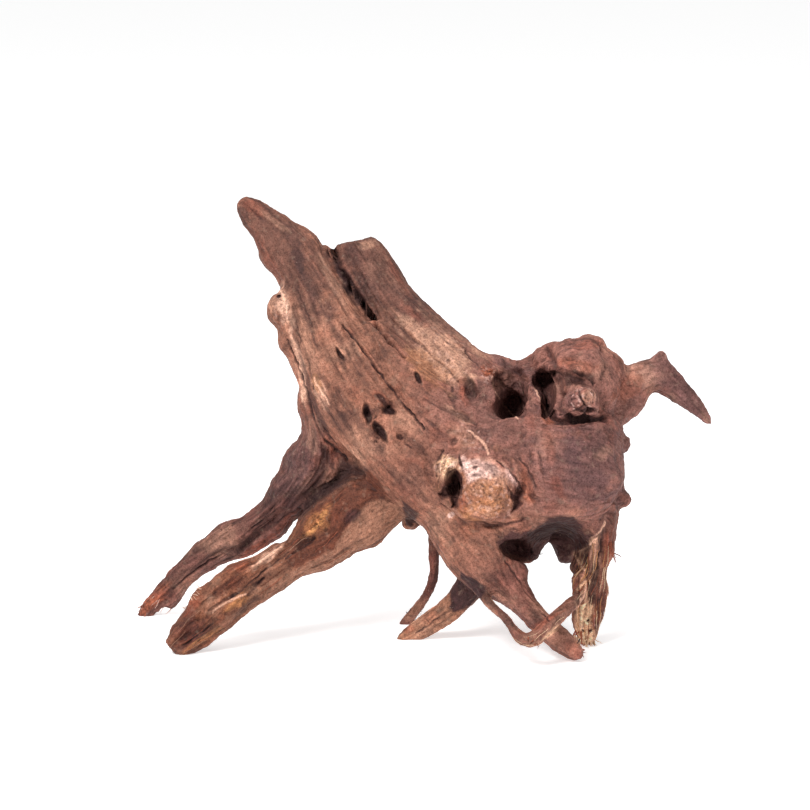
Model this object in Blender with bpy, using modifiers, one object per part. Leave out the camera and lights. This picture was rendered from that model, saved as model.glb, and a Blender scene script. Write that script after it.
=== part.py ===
"""Aquarium driftwood: the stump of a small root crown, standing on its root tips.

The wood is drawn on a sketch plane that leans back a little, as the eye sees it from the
front and slightly above. A place on it is (right, up, back) in millimetres: right of the
middle, up the plane, and back behind it. The limbs are lofted along their spines, fused
into one piece of wood, hollowed, and last sawn apart at the main forks.
"""

import math

import bmesh
import bpy
from mathutils import Matrix, Vector, noise

MM = 0.001

# The sketch plane
SKETCH_TILT = math.radians(12)
EYE_DISTANCE = 2000
RIGHTWARD = Vector((1, 0, 0))
BACKWARD = Vector((0, math.cos(SKETCH_TILT), -math.sin(SKETCH_TILT)))
UPWARD = Vector((0, math.sin(SKETCH_TILT), math.cos(SKETCH_TILT)))
FLOOR_DROP = 115.0

# How finely the wood is fused and how many faces it keeps
FUSE_VOXEL = 1.2 * MM
CARVED_VOXEL = 1.1 * MM
SOFTEN_ROUNDS = 4
KEPT_TRIANGLES = 8300
RING_POINTS = 28
RINGS_PER_STATION = 5
SAW_KERF = 0.35

# A limb is a list of stations: right, up, back, half its width in the sketch plane, and
# half its depth. A limb's ridges are the share by which its section swells and shrinks.
LIMBS = {
    "long_prong": {
        "ridges": 0.10,
        "seed": 3,
        "stations": [
            (-82, 103, 19, 3.0, 3.2),
            (-80, 100.5, 18.5, 5.4, 4.6),
            (-75.5, 96.5, 18, 7.0, 6.0),
            (-70, 91.5, 17, 8.6, 7.5),
            (-60.5, 81, 15, 13.4, 9.5),
            (-55.5, 74, 13, 14.6, 11),
            (-49.5, 64.5, 11, 15.0, 12.5),
            (-44.5, 52.5, 8, 18.2, 15),
            (-38.5, 37, 5, 22.0, 18),
            (-31.5, 25, 3, 24.0, 20.5),
            (-18, 3, -1, 26.0, 25),
            (-1, -17.5, -4, 26.0, 29),
            (19, -38, -7, 24.5, 31),
            (40, -52, -7, 24.0, 30),
        ],
    },
    "short_prong": {
        "ridges": 0.08,
        "seed": 11,
        "stations": [
            (-26.6, 80.8, 20, 12.2, 10.5),
            (-24.3, 75.5, 19, 13.2, 11.5),
            (-16.4, 61.5, 16, 14.4, 13),
            (-7.6, 48, 11, 14.4, 15.5),
            (7.5, 31.5, 6, 16.0, 18.5),
            (24, 11.5, 1, 21.5, 24),
            (40, -9, -4, 26.0, 31),
            (54, -30, -7, 26.0, 35),
        ],
    },
    "trunk_heart": {
        "ridges": 0.05,
        "seed": 15,
        "stations": [
            (-17, 39, 3, 6.0, 15),
            (-8, 25, 0, 12.0, 21),
            (6, 6, -3, 20.0, 27),
            (22, -14, -6, 26.0, 31),
            (38, -30, -7, 26.0, 33),
        ],
    },
    "burl": {
        "ridges": 0.06,
        "seed": 20,
        "stations": [
            (34, -30, -7, 26, 33),
            (50, -25, -5, 34, 37),
            (70, -26, -4, 37, 39),
            (88, -27, -3, 36, 36),
            (99.5, -28, -2, 27, 28),
            (105.5, -28, -1, 16, 18),
        ],
    },
    "crown_top": {
        "ridges": 0.08,
        "seed": 28,
        "stations": [
            (34, 12, 5, 11, 17),
            (44, 13.5, 6, 11.5, 17),
            (54, 13.5, 9, 11, 16),
            (70, 15, 5, 13, 18),
            (84, 14, -1, 19, 23),
            (96, 9, -1, 19.5, 22),
            (103, 6, 0, 15, 16),
        ],
    },
    "left_rear_root": {
        "ridges": 0.16,
        "seed": 36,
        "stations": [
            (-40, 24, 5, 9.0, 11),
            (-42.5, 6, 4, 10.0, 13),
            (-41, -14, 5, 10.5, 14),
            (-43, -25, 8, 11.0, 13.5),
            (-50, -35, 14, 11.5, 11.5),
            (-60.5, -48.5, 20, 9.6, 9.2),
            (-70, -58, 25, 9.0, 8.4),
            (-82, -67.5, 30, 8.8, 7.6),
            (-95.5, -75.5, 36, 7.8, 6.8),
            (-107, -84, 41, 6.8, 5.8),
            (-116.5, -92.5, 44, 5.9, 4.8),
            (-125.5, -99.8, 46, 4.4, 3.7),
            (-133, -106.5, 47.5, 2.8, 2.4),
            (-134.5, -108.5, 48, 2.0, 1.8),
        ],
    },
    "left_front_root": {
        "ridges": 0.12,
        "seed": 43,
        "stations": [
            (6, -34, 1, 16.0, 17),
            (-11.5, -43, 2, 17.6, 17),
            (-26.5, -53.5, 0, 18.2, 15.5),
            (-42.5, -66.5, -5, 15.8, 13.5),
            (-57, -76, -10, 11.2, 11),
            (-68.5, -85, -13, 10.2, 9.8),
            (-83, -93.8, -17, 11.8, 9.6),
            (-93.5, -103.3, -20, 11.6, 9),
            (-104.5, -112, -23, 10.2, 8),
            (-112.5, -118.5, -25, 7.8, 6.2),
            (-117, -122, -26, 4.6, 4),
        ],
    },
    "front_root": {
        "ridges": 0.11,
        "seed": 51,
        "stations": [
            (30, -50, -11, 22.0, 28),
            (39.5, -74, -18, 18.0, 20),
            (46, -84.5, -20, 13.4, 15),
            (52.8, -92.4, -23, 8.6, 11),
            (60.6, -100.8, -27, 6.2, 8.5),
            (67.7, -108.5, -31, 5.8, 7.2),
            (75.8, -115.8, -35, 5.8, 6.2),
            (85, -123.8, -39, 4.6, 4.4),
            (90, -127.5, -40.5, 2.6, 2.6),
        ],
    },
    "right_root": {
        "ridges": 0.15,
        "seed": 60,
        "stations": [
            (88, -40, -14, 20.0, 24),
            (92, -56, -14, 14.0, 17),
            (92, -68, -14, 11.8, 12.5),
            (92.8, -80, -13, 10.8, 10.2),
            (91.8, -96, -11, 9.0, 8.4),
            (91, -109, -10, 6.6, 6.2),
            (91.5, -121, -10, 3.2, 3.4),
        ],
    },
    "stub_root": {
        "ridges": 0.12,
        "seed": 67,
        "stations": [
            (40, -78, -10, 9.5, 10),
            (32, -91, -5, 7.2, 7.8),
            (23.5, -101, -2, 5.9, 6.4),
            (14.5, -107.5, 1, 5.8, 5.6),
            (6.5, -113, 2, 5.0, 4.8),
            (-3.5, -118, 3, 2.6, 2.6),
        ],
    },
    "hanging_rootlet": {
        "ridges": 0.10,
        "seed": 73,
        "stations": [
            (17, -46, 9, 4.2, 5.0),
            (14.5, -60, 15, 3.0, 3.2),
            (14.5, -74, 20, 2.7, 2.7),
            (14.3, -86, 24, 2.6, 2.6),
            (10, -96.5, 28, 2.6, 2.5),
            (3.5, -105, 30, 3.1, 2.8),
            (-2.5, -112.5, 31.5, 3.4, 2.9),
        ],
    },
    "crossing_rootlet": {
        "ridges": 0.10,
        "seed": 80,
        "stations": [
            (35, -88, -21, 4.2, 4.0),
            (39.3, -95.0, -30, 3.0, 3.2),
            (44.6, -102.6, -41, 2.6, 2.8),
            (50.6, -110.3, -48, 2.6, 2.8),
            (57.4, -116.6, -52.5, 3.0, 3.0),
            (64, -117.5, -54.5, 4.0, 3.6),
            (71.5, -110.5, -52, 4.1, 3.6),
            (79, -103.5, -42, 3.5, 3.3),
            (86, -97, -26, 3.3, 3.2),
            (91, -92, -13, 3.3, 3.2),
        ],
    },
    "horn": {
        "ridges": 0.09,
        "seed": 88,
        "stations": [
            (92, 2, 1, 17.5, 16),
            (104, 5, 2, 14.4, 12.5),
            (112, 9, 3, 12.2, 9.4),
            (120, 13.8, 4, 8.6, 7.6),
            (127.5, 14.6, 5, 8.6, 6.8),
            (136, 7.6, 6, 6.6, 5.6),
            (145, -0.3, 7, 4.3, 4.2),
            (154.2, -10.8, 8, 1.4, 1.4),
        ],
    },
}

# A lump is right, up, back, half its width, height and depth, and its turn in degrees
LUMPS = {
    "boss": (37, -40, -38, 20.5, 19, 12, 0),
    "boss_brow": (44, -20, -29, 22, 14, 15, -30),
    "burl_cheek": (80, -34, -25, 28, 27, 22, 0),
    "burl_face": (62, -34, -23, 30, 24, 22, -10),
    "arch_brow": (72, -50, -27, 30, 11, 19, -3),
    "arch_brow_left": (52, -60, -25, 16, 12, 18, 30),
    "arch_left_wall": (56, -66, -1, 17, 13, 24, 15),
    "arch_rear_curtain": (80, -66, 19, 22, 13, 8, 0),
    "arch_rear_lobe": (58, -67, 20, 15, 10, 7, 20),
    "knob": (88, 10, -15, 19.5, 20, 20, 0),
    "knob_peak": (92.5, 25, -7, 10, 10, 12, 0),
    "knob_shoulder": (77, 21, -5, 13, 9, 13, 18),
    "knob_nub": (88, 1.5, -33, 9.5, 9.5, 9, 0),
    "knob_ledge": (84, 15, -26, 13, 4.5, 10, 14),
    "hollow_rim": (54, 17, 11, 14, 9, 12, 0),
    "side_bump_high": (109.5, -20, -7, 3.6, 4.8, 5, 10),
    "side_bump_low": (109.5, -47, -11, 3.8, 4.8, 5, -20),
    "horn_skirt": (110, 1.5, 1, 9.5, 8.5, 9, 30),
    "horn_corner": (127.5, 23.5, 4, 3.2, 5, 4, 35),
    "prong_knot": (-61, 48, 3, 8.0, 9.5, 9, 20),
    "prong_knot_heel": (-55, 36, 3, 8, 12, 10, 20),
    "trunk_hip": (-49, 0, 5, 5, 10, 11, -5),
    "crook_web": (-26, -30, 9, 22, 14, 14, -40),
    "dark_stump": (3.5, -56, 17, 5, 7, 8, 20),
    "back_burl": (64, -22, 19, 28, 24, 18, 0),
    "back_knot": (42, -6, 25, 13, 11, 11, 20),
    "back_ridge": (16, -22, 15, 20, 12, 13, -45),
}

# A hollow is written as a lump is, and is carved out of the fused wood
HOLLOWS = {
    "crown_hollow": (53, 2.5, -25, 7.6, 14.5, 21, 26),
    "crown_hollow_throat": (54, -2, -11, 8.0, 9.5, 20, 20),
    "crown_hollow_slope": (52, 12, -23, 9.5, 8.5, 17, -20),
    "side_hollow": (71.5, 2, -27, 4.2, 11, 19, 16),
    "side_hollow_top": (69.5, 12.5, -17, 6.5, 6.5, 18, 0),
    "nub_undercut": (84, -8, -44, 15, 2.8, 13, -4),
    "brow_pit": (33, 8, -38, 4, 8, 11, 10),
    "boss_hollow_left": (24.5, -38.5, -47, 4.2, 8.5, 14, -8),
    "boss_hollow_right": (57.5, -43, -47, 3.2, 6.4, 12, 20),
    "arch_mouth": (74, -74, -29, 19, 15.5, 34, 0),
    "arch_mouth_left": (57, -72.5, -23, 13, 6.5, 26, 14),
    "arch_gap": (72.5, -80, 15, 5.5, 14, 18, -12),
    "arch_under": (74, -94, 15, 25, 16, 34, 0),
    "pit_high": (-31.5, 25, -17, 1.9, 4.4, 7, 22),
    "pit_middle": (6.5, 13.5, -19, 2.2, 3.8, 9, 30),
    "pit_pair_left": (-18.5, -4, -26, 2.5, 4.8, 9, 12),
    "pit_pair_right": (-8, -1, -27, 3.4, 3.2, 9, 0),
    "pit_low": (-13.5, -14, -29, 2.7, 5.4, 9, 24),
    "pit_faint": (-2, -17, -33, 1.9, 3.2, 5, 20),
    "knot_eye": (-63.5, 53, -5, 1.9, 1.6, 6, 0),
    "horn_crease": (101, 22.5, -5, 3.4, 6, 12, -50),
    "crook_shadow": (-30, -27, -13, 5, 14, 9, -52),
    "back_hollow": (76, 6, 29, 8, 11, 12, 0),
    "back_pit": (22, 2, 33, 5, 7, 8, 20),
}

# A groove is a limb that is carved out: a split, a gutter or a crevice
GROOVES = {
    "main_split": [
        (-38.5, 84, 11, 2.2, 60),
        (-31.5, 68.5, 9, 2.1, 60),
        (-26.5, 57, 7, 1.8, 55),
        (-19, 45.5, -1, 1.4, 34),
        (-10, 35, -13, 1.0, 14),
        (-2, 26, -17, 0.5, 8),
    ],
    "spoon_of_front_root": [
        (-74, -86, -26, 2.0, 3),
        (-88, -97.5, -30, 4.6, 6),
        (-100, -107, -32, 5.4, 6.5),
        (-112, -116, -34, 4.6, 6),
        (-120, -122, -35, 3.0, 5),
    ],
    "gutter_of_rear_root": [
        (-62, -55, 14, 1.2, 3),
        (-82, -71, 23, 2.2, 4),
        (-104, -86, 32, 2.6, 4),
        (-124, -102, 41, 2.2, 3),
    ],
    "crevice_between_left_roots": [
        (-22, -26, -17, 2.2, 9),
        (-34, -38, -9, 2.4, 10),
        (-48, -50, -1, 2.2, 12),
        (-58, -60, 5, 1.6, 14),
    ],
    "back_gutter": [
        (-48, 56, 29, 2.0, 5),
        (-28, 22, 27, 3.0, 6),
        (-4, -10, 31, 3.4, 6),
        (20, -34, 31, 2.0, 5),
    ],
}

# A saw cut at a fork: where it starts and ends as seen from the front (right, up), and how far
# it reaches from front to back
SAW_CUTS = {
    "long_prong": ((-70, 59.4), (-39, 78.7), -7, 35),
    "short_prong": ((-21.8, 49.1), (3.3, 65.2), -5, 35),
    "left_rear_root": ((-73.5, -40.5), (-50.5, -58.5), 8, 38),
    "left_front_root": ((-46.5, -44), (-20.5, -77), -24, 18),
    "front_root": ((37, -98.8), (66, -80.7), -42, 0),
    "right_root": ((78, -68), (108, -68), -33, 6),
    "stub_root": ((22, -86), (39.5, -98), -15, 8),
    "hanging_rootlet": ((9, -64), (20, -64), 9, 25),
    "crossing_rootlet": ((81.5, -94), (88, -102), -38, -18),
    "horn": ((110.5, 25), (124.5, 1.5), -11, 20),
}

# The colour of each limb's wood, and the shine that water and handling leave on it
WOOD_COLOURS = {
    "root_crown": (0.20, 0.11, 0.085),
    "long_prong": (0.22, 0.13, 0.10),
    "short_prong": (0.20, 0.12, 0.095),
    "left_rear_root": (0.13, 0.075, 0.055),
    "left_front_root": (0.36, 0.20, 0.10),
    "front_root": (0.20, 0.10, 0.07),
    "right_root": (0.38, 0.22, 0.13),
    "stub_root": (0.36, 0.24, 0.16),
    "hanging_rootlet": (0.28, 0.15, 0.09),
    "crossing_rootlet": (0.26, 0.13, 0.08),
    "horn": (0.15, 0.095, 0.08),
}
WOOD_ROUGHNESS = 0.75


def place(right, up, back):
    """A sketch place in metres: things further back are drawn a little larger to look the same size."""
    spread = 1 + back / EYE_DISTANCE
    return (RIGHTWARD * right * spread + UPWARD * up * spread + BACKWARD * back) * MM


def clear_scene():
    for item in list(bpy.data.objects):
        bpy.data.objects.remove(item, do_unlink=True)


def new_collection(name):
    made = bpy.data.collections.new(name)
    bpy.context.scene.collection.children.link(made)
    return made


def new_object(name, mesh, collection):
    made = bpy.data.objects.new(name, mesh)
    collection.objects.link(made)
    return made


def helper(obj):
    """Marks a cutter or a working shape, which isn't part of the wood."""
    obj.hide_render = True
    obj.display_type = "WIRE"
    return obj


def between(stations, at):
    """The station at a fractional place in the list, on a smooth curve through them all."""
    last = len(stations) - 1
    index = min(int(at), last - 1)
    t = at - index
    before, start = stations[max(index - 1, 0)], stations[index]
    end, after = stations[index + 1], stations[min(index + 2, last)]
    found = []
    for a, b, c, d in zip(before, start, end, after):
        found.append(
            b + 0.5 * t * (c - a + t * (2 * a - 5 * b + 4 * c - d + t * (3 * (b - c) + d - a)))
        )
    return found


def spine_frame(stations, at):
    """Where the spine is at a place in the list, with its heading, side and depth directions."""
    step = 0.05
    last = len(stations) - 1
    here = place(*between(stations, at)[:3])
    ahead = place(*between(stations, min(at + step, last))[:3])
    behind = place(*between(stations, max(at - step, 0))[:3])
    heading = (ahead - behind).normalized()
    side = heading.cross(BACKWARD).normalized()
    depth = side.cross(heading).normalized()
    return here, heading, side, depth


def ridge_swell(angle, along, ridges, seed):
    """The share by which a section swells at an angle: ridges run along the limb and wander slowly."""
    around = Vector((math.cos(angle), math.sin(angle), 0))
    broad = noise.noise(around * 1.1 + Vector((seed, 0, along * 0.28)))
    narrow = noise.noise(around * 2.6 + Vector((0, seed, along * 0.45)))
    return 1 + ridges * (1.5 * broad + 1.0 * narrow)


def loft(name, stations, collection, ridges=0.0, seed=0):
    """A closed tube through the stations, each an ellipse with its ridges, with capped ends."""
    shape = bmesh.new()
    count = (len(stations) - 1) * RINGS_PER_STATION
    rings = []
    for ring_index in range(count + 1):
        at = ring_index / RINGS_PER_STATION
        here, _, side, depth = spine_frame(stations, at)
        wide, deep = between(stations, at)[3:]
        ring = []
        for point in range(RING_POINTS):
            angle = 2 * math.pi * point / RING_POINTS
            swell = MM * ridge_swell(angle, at, ridges, seed)
            across = side * max(wide, 0.4) * math.cos(angle)
            through = depth * max(deep, 0.4) * math.sin(angle)
            ring.append(shape.verts.new(here + (across + through) * swell))
        rings.append(ring)
    for ring, following in zip(rings, rings[1:]):
        for point in range(RING_POINTS):
            beside = (point + 1) % RING_POINTS
            shape.faces.new((ring[point], ring[beside], following[beside], following[point]))
    shape.faces.new(rings[0][::-1])
    shape.faces.new(rings[-1])
    bmesh.ops.recalc_face_normals(shape, faces=shape.faces)
    mesh = bpy.data.meshes.new(name)
    shape.to_mesh(mesh)
    shape.free()
    return helper(new_object(name, mesh, collection))


def lump(name, size, collection, roughness=0.10):
    """A turned egg with a slightly uneven surface."""
    right, up, back, wide, tall, deep, turn = size
    shape = bmesh.new()
    bmesh.ops.create_icosphere(shape, subdivisions=3, radius=1)
    turned = Matrix.Rotation(math.radians(turn), 3, BACKWARD)
    sides = Matrix((turned @ RIGHTWARD, turned @ BACKWARD, turned @ UPWARD)).transposed()
    centre = place(right, up, back)
    for vert in shape.verts:
        uneven = 1 + roughness * noise.noise(vert.co * 1.7 + Vector((right, up, back)) * 0.37)
        scaled = Vector((vert.co.x * wide, vert.co.y * deep, vert.co.z * tall)) * uneven * MM
        vert.co = centre + sides @ scaled
    mesh = bpy.data.meshes.new(name)
    shape.to_mesh(mesh)
    shape.free()
    return helper(new_object(name, mesh, collection))


def modified(obj, kind, **settings):
    """Puts one modifier on an object and applies it."""
    modifier = obj.modifiers.new(kind.lower(), kind)
    for key, value in settings.items():
        setattr(modifier, key, value)
    graph = bpy.context.evaluated_depsgraph_get()
    mesh = bpy.data.meshes.new_from_object(obj.evaluated_get(graph))
    obj.modifiers.clear()
    spent, obj.data = obj.data, mesh
    bpy.data.meshes.remove(spent)
    return obj


def fused(name, pieces, voxel, collection):
    """One closed mesh that holds all the pieces, which are used up."""
    shape = bmesh.new()
    for piece in pieces:
        shape.from_mesh(piece.data)
        bpy.data.objects.remove(piece, do_unlink=True)
    mesh = bpy.data.meshes.new(name)
    shape.to_mesh(mesh)
    shape.free()
    made = helper(new_object(name, mesh, collection))
    return modified(made, "REMESH", mode="VOXEL", voxel_size=voxel)


def solid_wood(workshop):
    """Every limb and lump fused, then carved by every hollow and groove."""
    solids = [
        loft(name, limb["stations"], workshop, limb["ridges"], limb["seed"])
        for name, limb in LIMBS.items()
    ]
    solids += [lump(name, size, workshop) for name, size in LUMPS.items()]
    wood = fused("wood", solids, FUSE_VOXEL, workshop)
    modified(wood, "SMOOTH", factor=0.5, iterations=SOFTEN_ROUNDS * 2)
    voids = [lump(name, size, workshop, 0.16) for name, size in HOLLOWS.items()]
    voids += [
        loft(name, stations, workshop, 0.08, 5) for name, stations in GROOVES.items()
    ]
    hollow = fused("hollow", voids, CARVED_VOXEL, workshop)
    modified(wood, "BOOLEAN", operation="DIFFERENCE", object=hollow, solver="EXACT")
    modified(wood, "REMESH", mode="VOXEL", voxel_size=CARVED_VOXEL)
    return modified(wood, "SMOOTH", factor=0.5, iterations=SOFTEN_ROUNDS)


def keep_largest(obj):
    """Drops the crumbs that carving can leave."""
    shape = bmesh.new()
    shape.from_mesh(obj.data)
    groups = islands(shape)
    for group in sorted(groups, key=len)[:-1]:
        bmesh.ops.delete(shape, geom=list(group), context="VERTS")
    shape.to_mesh(obj.data)
    shape.free()


def thinned(obj, triangles):
    """The same shape with about this many triangles, more of them where it bends."""
    obj.data.calc_loop_triangles()
    ratio = triangles / len(obj.data.loop_triangles)
    return modified(obj, "DECIMATE", ratio=ratio, use_collapse_triangulate=True)


def islands(shape):
    """The loose parts of a bmesh, each a set of its vertices."""
    found = []
    unseen = set(shape.verts)
    while unseen:
        start = unseen.pop()
        group = {start}
        edge = [start]
        while edge:
            vert = edge.pop()
            for link in vert.link_edges:
                other = link.other_vert(vert)
                if other in unseen:
                    unseen.discard(other)
                    group.add(other)
                    edge.append(other)
        found.append(group)
    return found


def blade(name, start, end, front, back, collection):
    """A thin plate that stands on a line drawn across a limb, from front to back, to saw it off."""
    middle = (front + back) / 2
    near, far = Vector(place(*start, middle)), Vector(place(*end, middle))
    along = (far - near).normalized()
    through = along.cross(BACKWARD).normalized()
    sides = Matrix((along, BACKWARD, through)).transposed()
    sizes = ((far - near).length, (back - front) * MM, SAW_KERF * MM)
    shape = bmesh.new()
    bmesh.ops.create_cube(shape, size=1)
    for vert in shape.verts:
        stretched = Vector(share * size for share, size in zip(vert.co, sizes))
        vert.co = (near + far) / 2 + sides @ stretched
    mesh = bpy.data.meshes.new("blade_" + name)
    shape.to_mesh(mesh)
    shape.free()
    return helper(new_object("blade_" + name, mesh, collection))


def floor_block(collection):
    """Everything below the floor, where the root tips are worn flat."""
    size = 600 * MM
    shape = bmesh.new()
    centre = Vector((0, 0, -FLOOR_DROP * MM - size / 2))
    bmesh.ops.create_cube(shape, size=size, matrix=Matrix.Translation(centre))
    mesh = bpy.data.meshes.new("below_floor")
    shape.to_mesh(mesh)
    shape.free()
    return helper(new_object("below_floor", mesh, collection))


def sawn(wood, workshop):
    """The wood worn flat at the floor and sawn apart at its forks."""
    cutters = [floor_block(workshop)]
    cutters += [blade(name, *cut, workshop) for name, cut in SAW_CUTS.items()]
    for cutter in cutters:
        modified(wood, "BOOLEAN", operation="DIFFERENCE", object=cutter, solver="EXACT")
    return wood


def middle_of(limb):
    """A place well inside the sawn limb, to tell its loose part by."""
    stations = LIMBS[limb]["stations"]
    if limb in ("long_prong", "short_prong"):
        at = 1.5
    else:
        at = (len(stations) - 1) * (0.5 if limb == "crossing_rootlet" else 0.75)
    return place(*between(stations, at)[:3])


def wood_material(limb):
    made = bpy.data.materials.new(limb + "_wood")
    made.use_nodes = True
    shader = made.node_tree.nodes["Principled BSDF"]
    shader.inputs["Base Color"].default_value = (*WOOD_COLOURS[limb], 1)
    shader.inputs["Roughness"].default_value = WOOD_ROUGHNESS
    shader.inputs["Metallic"].default_value = 0
    return made


def separated(wood, driftwood):
    """One named object for each loose part: the limbs by their middles, and the rest the crown."""
    shape = bmesh.new()
    shape.from_mesh(wood.data)
    groups = islands(shape)
    names = {}
    for limb in [name for name in SAW_CUTS if name in LIMBS]:
        middle = middle_of(limb)
        nearest = min(
            range(len(groups)),
            key=lambda index: min((vert.co - middle).length for vert in groups[index]),
        )
        names[nearest] = limb
    rest = [index for index in range(len(groups)) if index not in names]
    names[max(rest, key=lambda index: len(groups[index]))] = "root_crown"
    shape.verts.index_update()
    made = []
    for index, name in names.items():
        kept = {vert.index for vert in groups[index]}
        part = shape.copy()
        part.verts.ensure_lookup_table()
        unwanted = [vert for vert in part.verts if vert.index not in kept]
        bmesh.ops.delete(part, geom=unwanted, context="VERTS")
        mesh = bpy.data.meshes.new(name)
        part.to_mesh(mesh)
        part.free()
        made.append(new_object(name, mesh, driftwood))
    shape.free()
    return made


def set_on_origin(parts):
    """Moves the wood so that it stands on z = 0 over the middle of its box."""
    corners = [vert.co for part in parts for vert in part.data.vertices]
    low = Vector(map(min, *corners))
    high = Vector(map(max, *corners))
    foot = Vector(((low.x + high.x) / 2, (low.y + high.y) / 2, low.z))
    for part in parts:
        part.data.transform(Matrix.Translation(-foot))


def main():
    clear_scene()
    driftwood = new_collection("aquarium_driftwood")
    workshop = new_collection("cutters")
    wood = solid_wood(workshop)
    keep_largest(wood)
    thinned(wood, KEPT_TRIANGLES)
    sawn(wood, workshop)
    parts = separated(wood, driftwood)
    set_on_origin(parts)
    for part in parts:
        part.data.materials.append(wood_material(part.name))
        part.data.shade_smooth()
        part.data.set_sharp_from_angle(angle=math.radians(50))


main()
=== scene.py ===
import math

import bmesh
import bpy
import numpy as np
from mathutils import Matrix, Vector
from mathutils.bvhtree import BVHTree
from mathutils.kdtree import KDTree


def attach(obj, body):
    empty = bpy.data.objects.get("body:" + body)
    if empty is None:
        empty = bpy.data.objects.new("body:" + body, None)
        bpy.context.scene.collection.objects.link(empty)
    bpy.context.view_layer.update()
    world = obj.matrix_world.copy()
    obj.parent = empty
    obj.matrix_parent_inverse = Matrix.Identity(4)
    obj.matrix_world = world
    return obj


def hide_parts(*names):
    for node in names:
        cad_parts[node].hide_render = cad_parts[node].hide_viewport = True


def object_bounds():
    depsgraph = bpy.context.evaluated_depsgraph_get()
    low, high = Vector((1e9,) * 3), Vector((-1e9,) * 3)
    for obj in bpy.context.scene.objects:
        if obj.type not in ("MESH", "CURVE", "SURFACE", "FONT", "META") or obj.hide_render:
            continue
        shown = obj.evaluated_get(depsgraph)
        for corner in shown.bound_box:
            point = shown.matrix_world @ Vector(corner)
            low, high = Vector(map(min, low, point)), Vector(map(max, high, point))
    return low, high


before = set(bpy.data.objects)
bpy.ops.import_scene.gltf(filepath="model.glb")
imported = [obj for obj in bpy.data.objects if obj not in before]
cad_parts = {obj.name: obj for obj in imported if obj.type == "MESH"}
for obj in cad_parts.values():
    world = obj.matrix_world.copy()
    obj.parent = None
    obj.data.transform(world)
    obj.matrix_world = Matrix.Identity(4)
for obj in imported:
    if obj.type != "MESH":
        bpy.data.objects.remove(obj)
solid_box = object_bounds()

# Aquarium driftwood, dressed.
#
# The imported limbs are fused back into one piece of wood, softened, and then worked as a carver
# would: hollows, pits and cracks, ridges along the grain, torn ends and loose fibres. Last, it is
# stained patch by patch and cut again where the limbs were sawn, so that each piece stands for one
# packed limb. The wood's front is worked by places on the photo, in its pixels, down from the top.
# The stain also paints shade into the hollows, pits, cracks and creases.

MM = 0.001

# The sketch plane of the wood's front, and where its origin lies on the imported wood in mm
SKETCH_TILT = math.radians(12)
EYE_DISTANCE = 2000.0
SKETCH_ORIGIN = np.array((-8.15, 17.37, 115.0))
BACKWARD = np.array((0, math.cos(SKETCH_TILT), -math.sin(SKETCH_TILT)))
UPWARD = np.array((0, math.sin(SKETCH_TILT), math.cos(SKETCH_TILT)))
RIGHTWARD = np.array((1.0, 0, 0))
PHOTO_MIDDLE = 405
PIXEL = 0.5
SKETCH_WIDTH = 2 * PHOTO_MIDDLE * PIXEL

# How the wood is fused and softened
KERF_COVER = 0.45
KERF_SHRINK = 0.22
BLANK_VOXEL = 1.2
SOFTEN_ROUNDS = 8
SOFTEN_IN, SOFTEN_OUT = 0.5, 0.52
BOX_MARGIN = 0.02
# Wood that closes a gap from behind: its two ends (right, up, back) and half width in mm
WEBS = {
    "prong_split": ((-40, 80, 12), (-6, 24, -1), 7.5),
    "root_crook": ((-51, -53, 12), (-31, -37, 6), 6.0),
}
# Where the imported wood's hollows are smoothed over, to be carved again: x, y and radius in pixels,
# and how far back that reaches in mm
FILLED = {
    "pit_left": (367, 412, 11, -5),
    "pit_right": (389, 409, 11, -5),
    "pit_low": (379, 430, 12, -5),
    "pit_high": (341, 354, 9, 0),
    "pit_middle": (418, 378, 9, -5),
    "hollow_corner": (492, 416, 14, -12),
}
FILL_ROUNDS = 70

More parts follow.
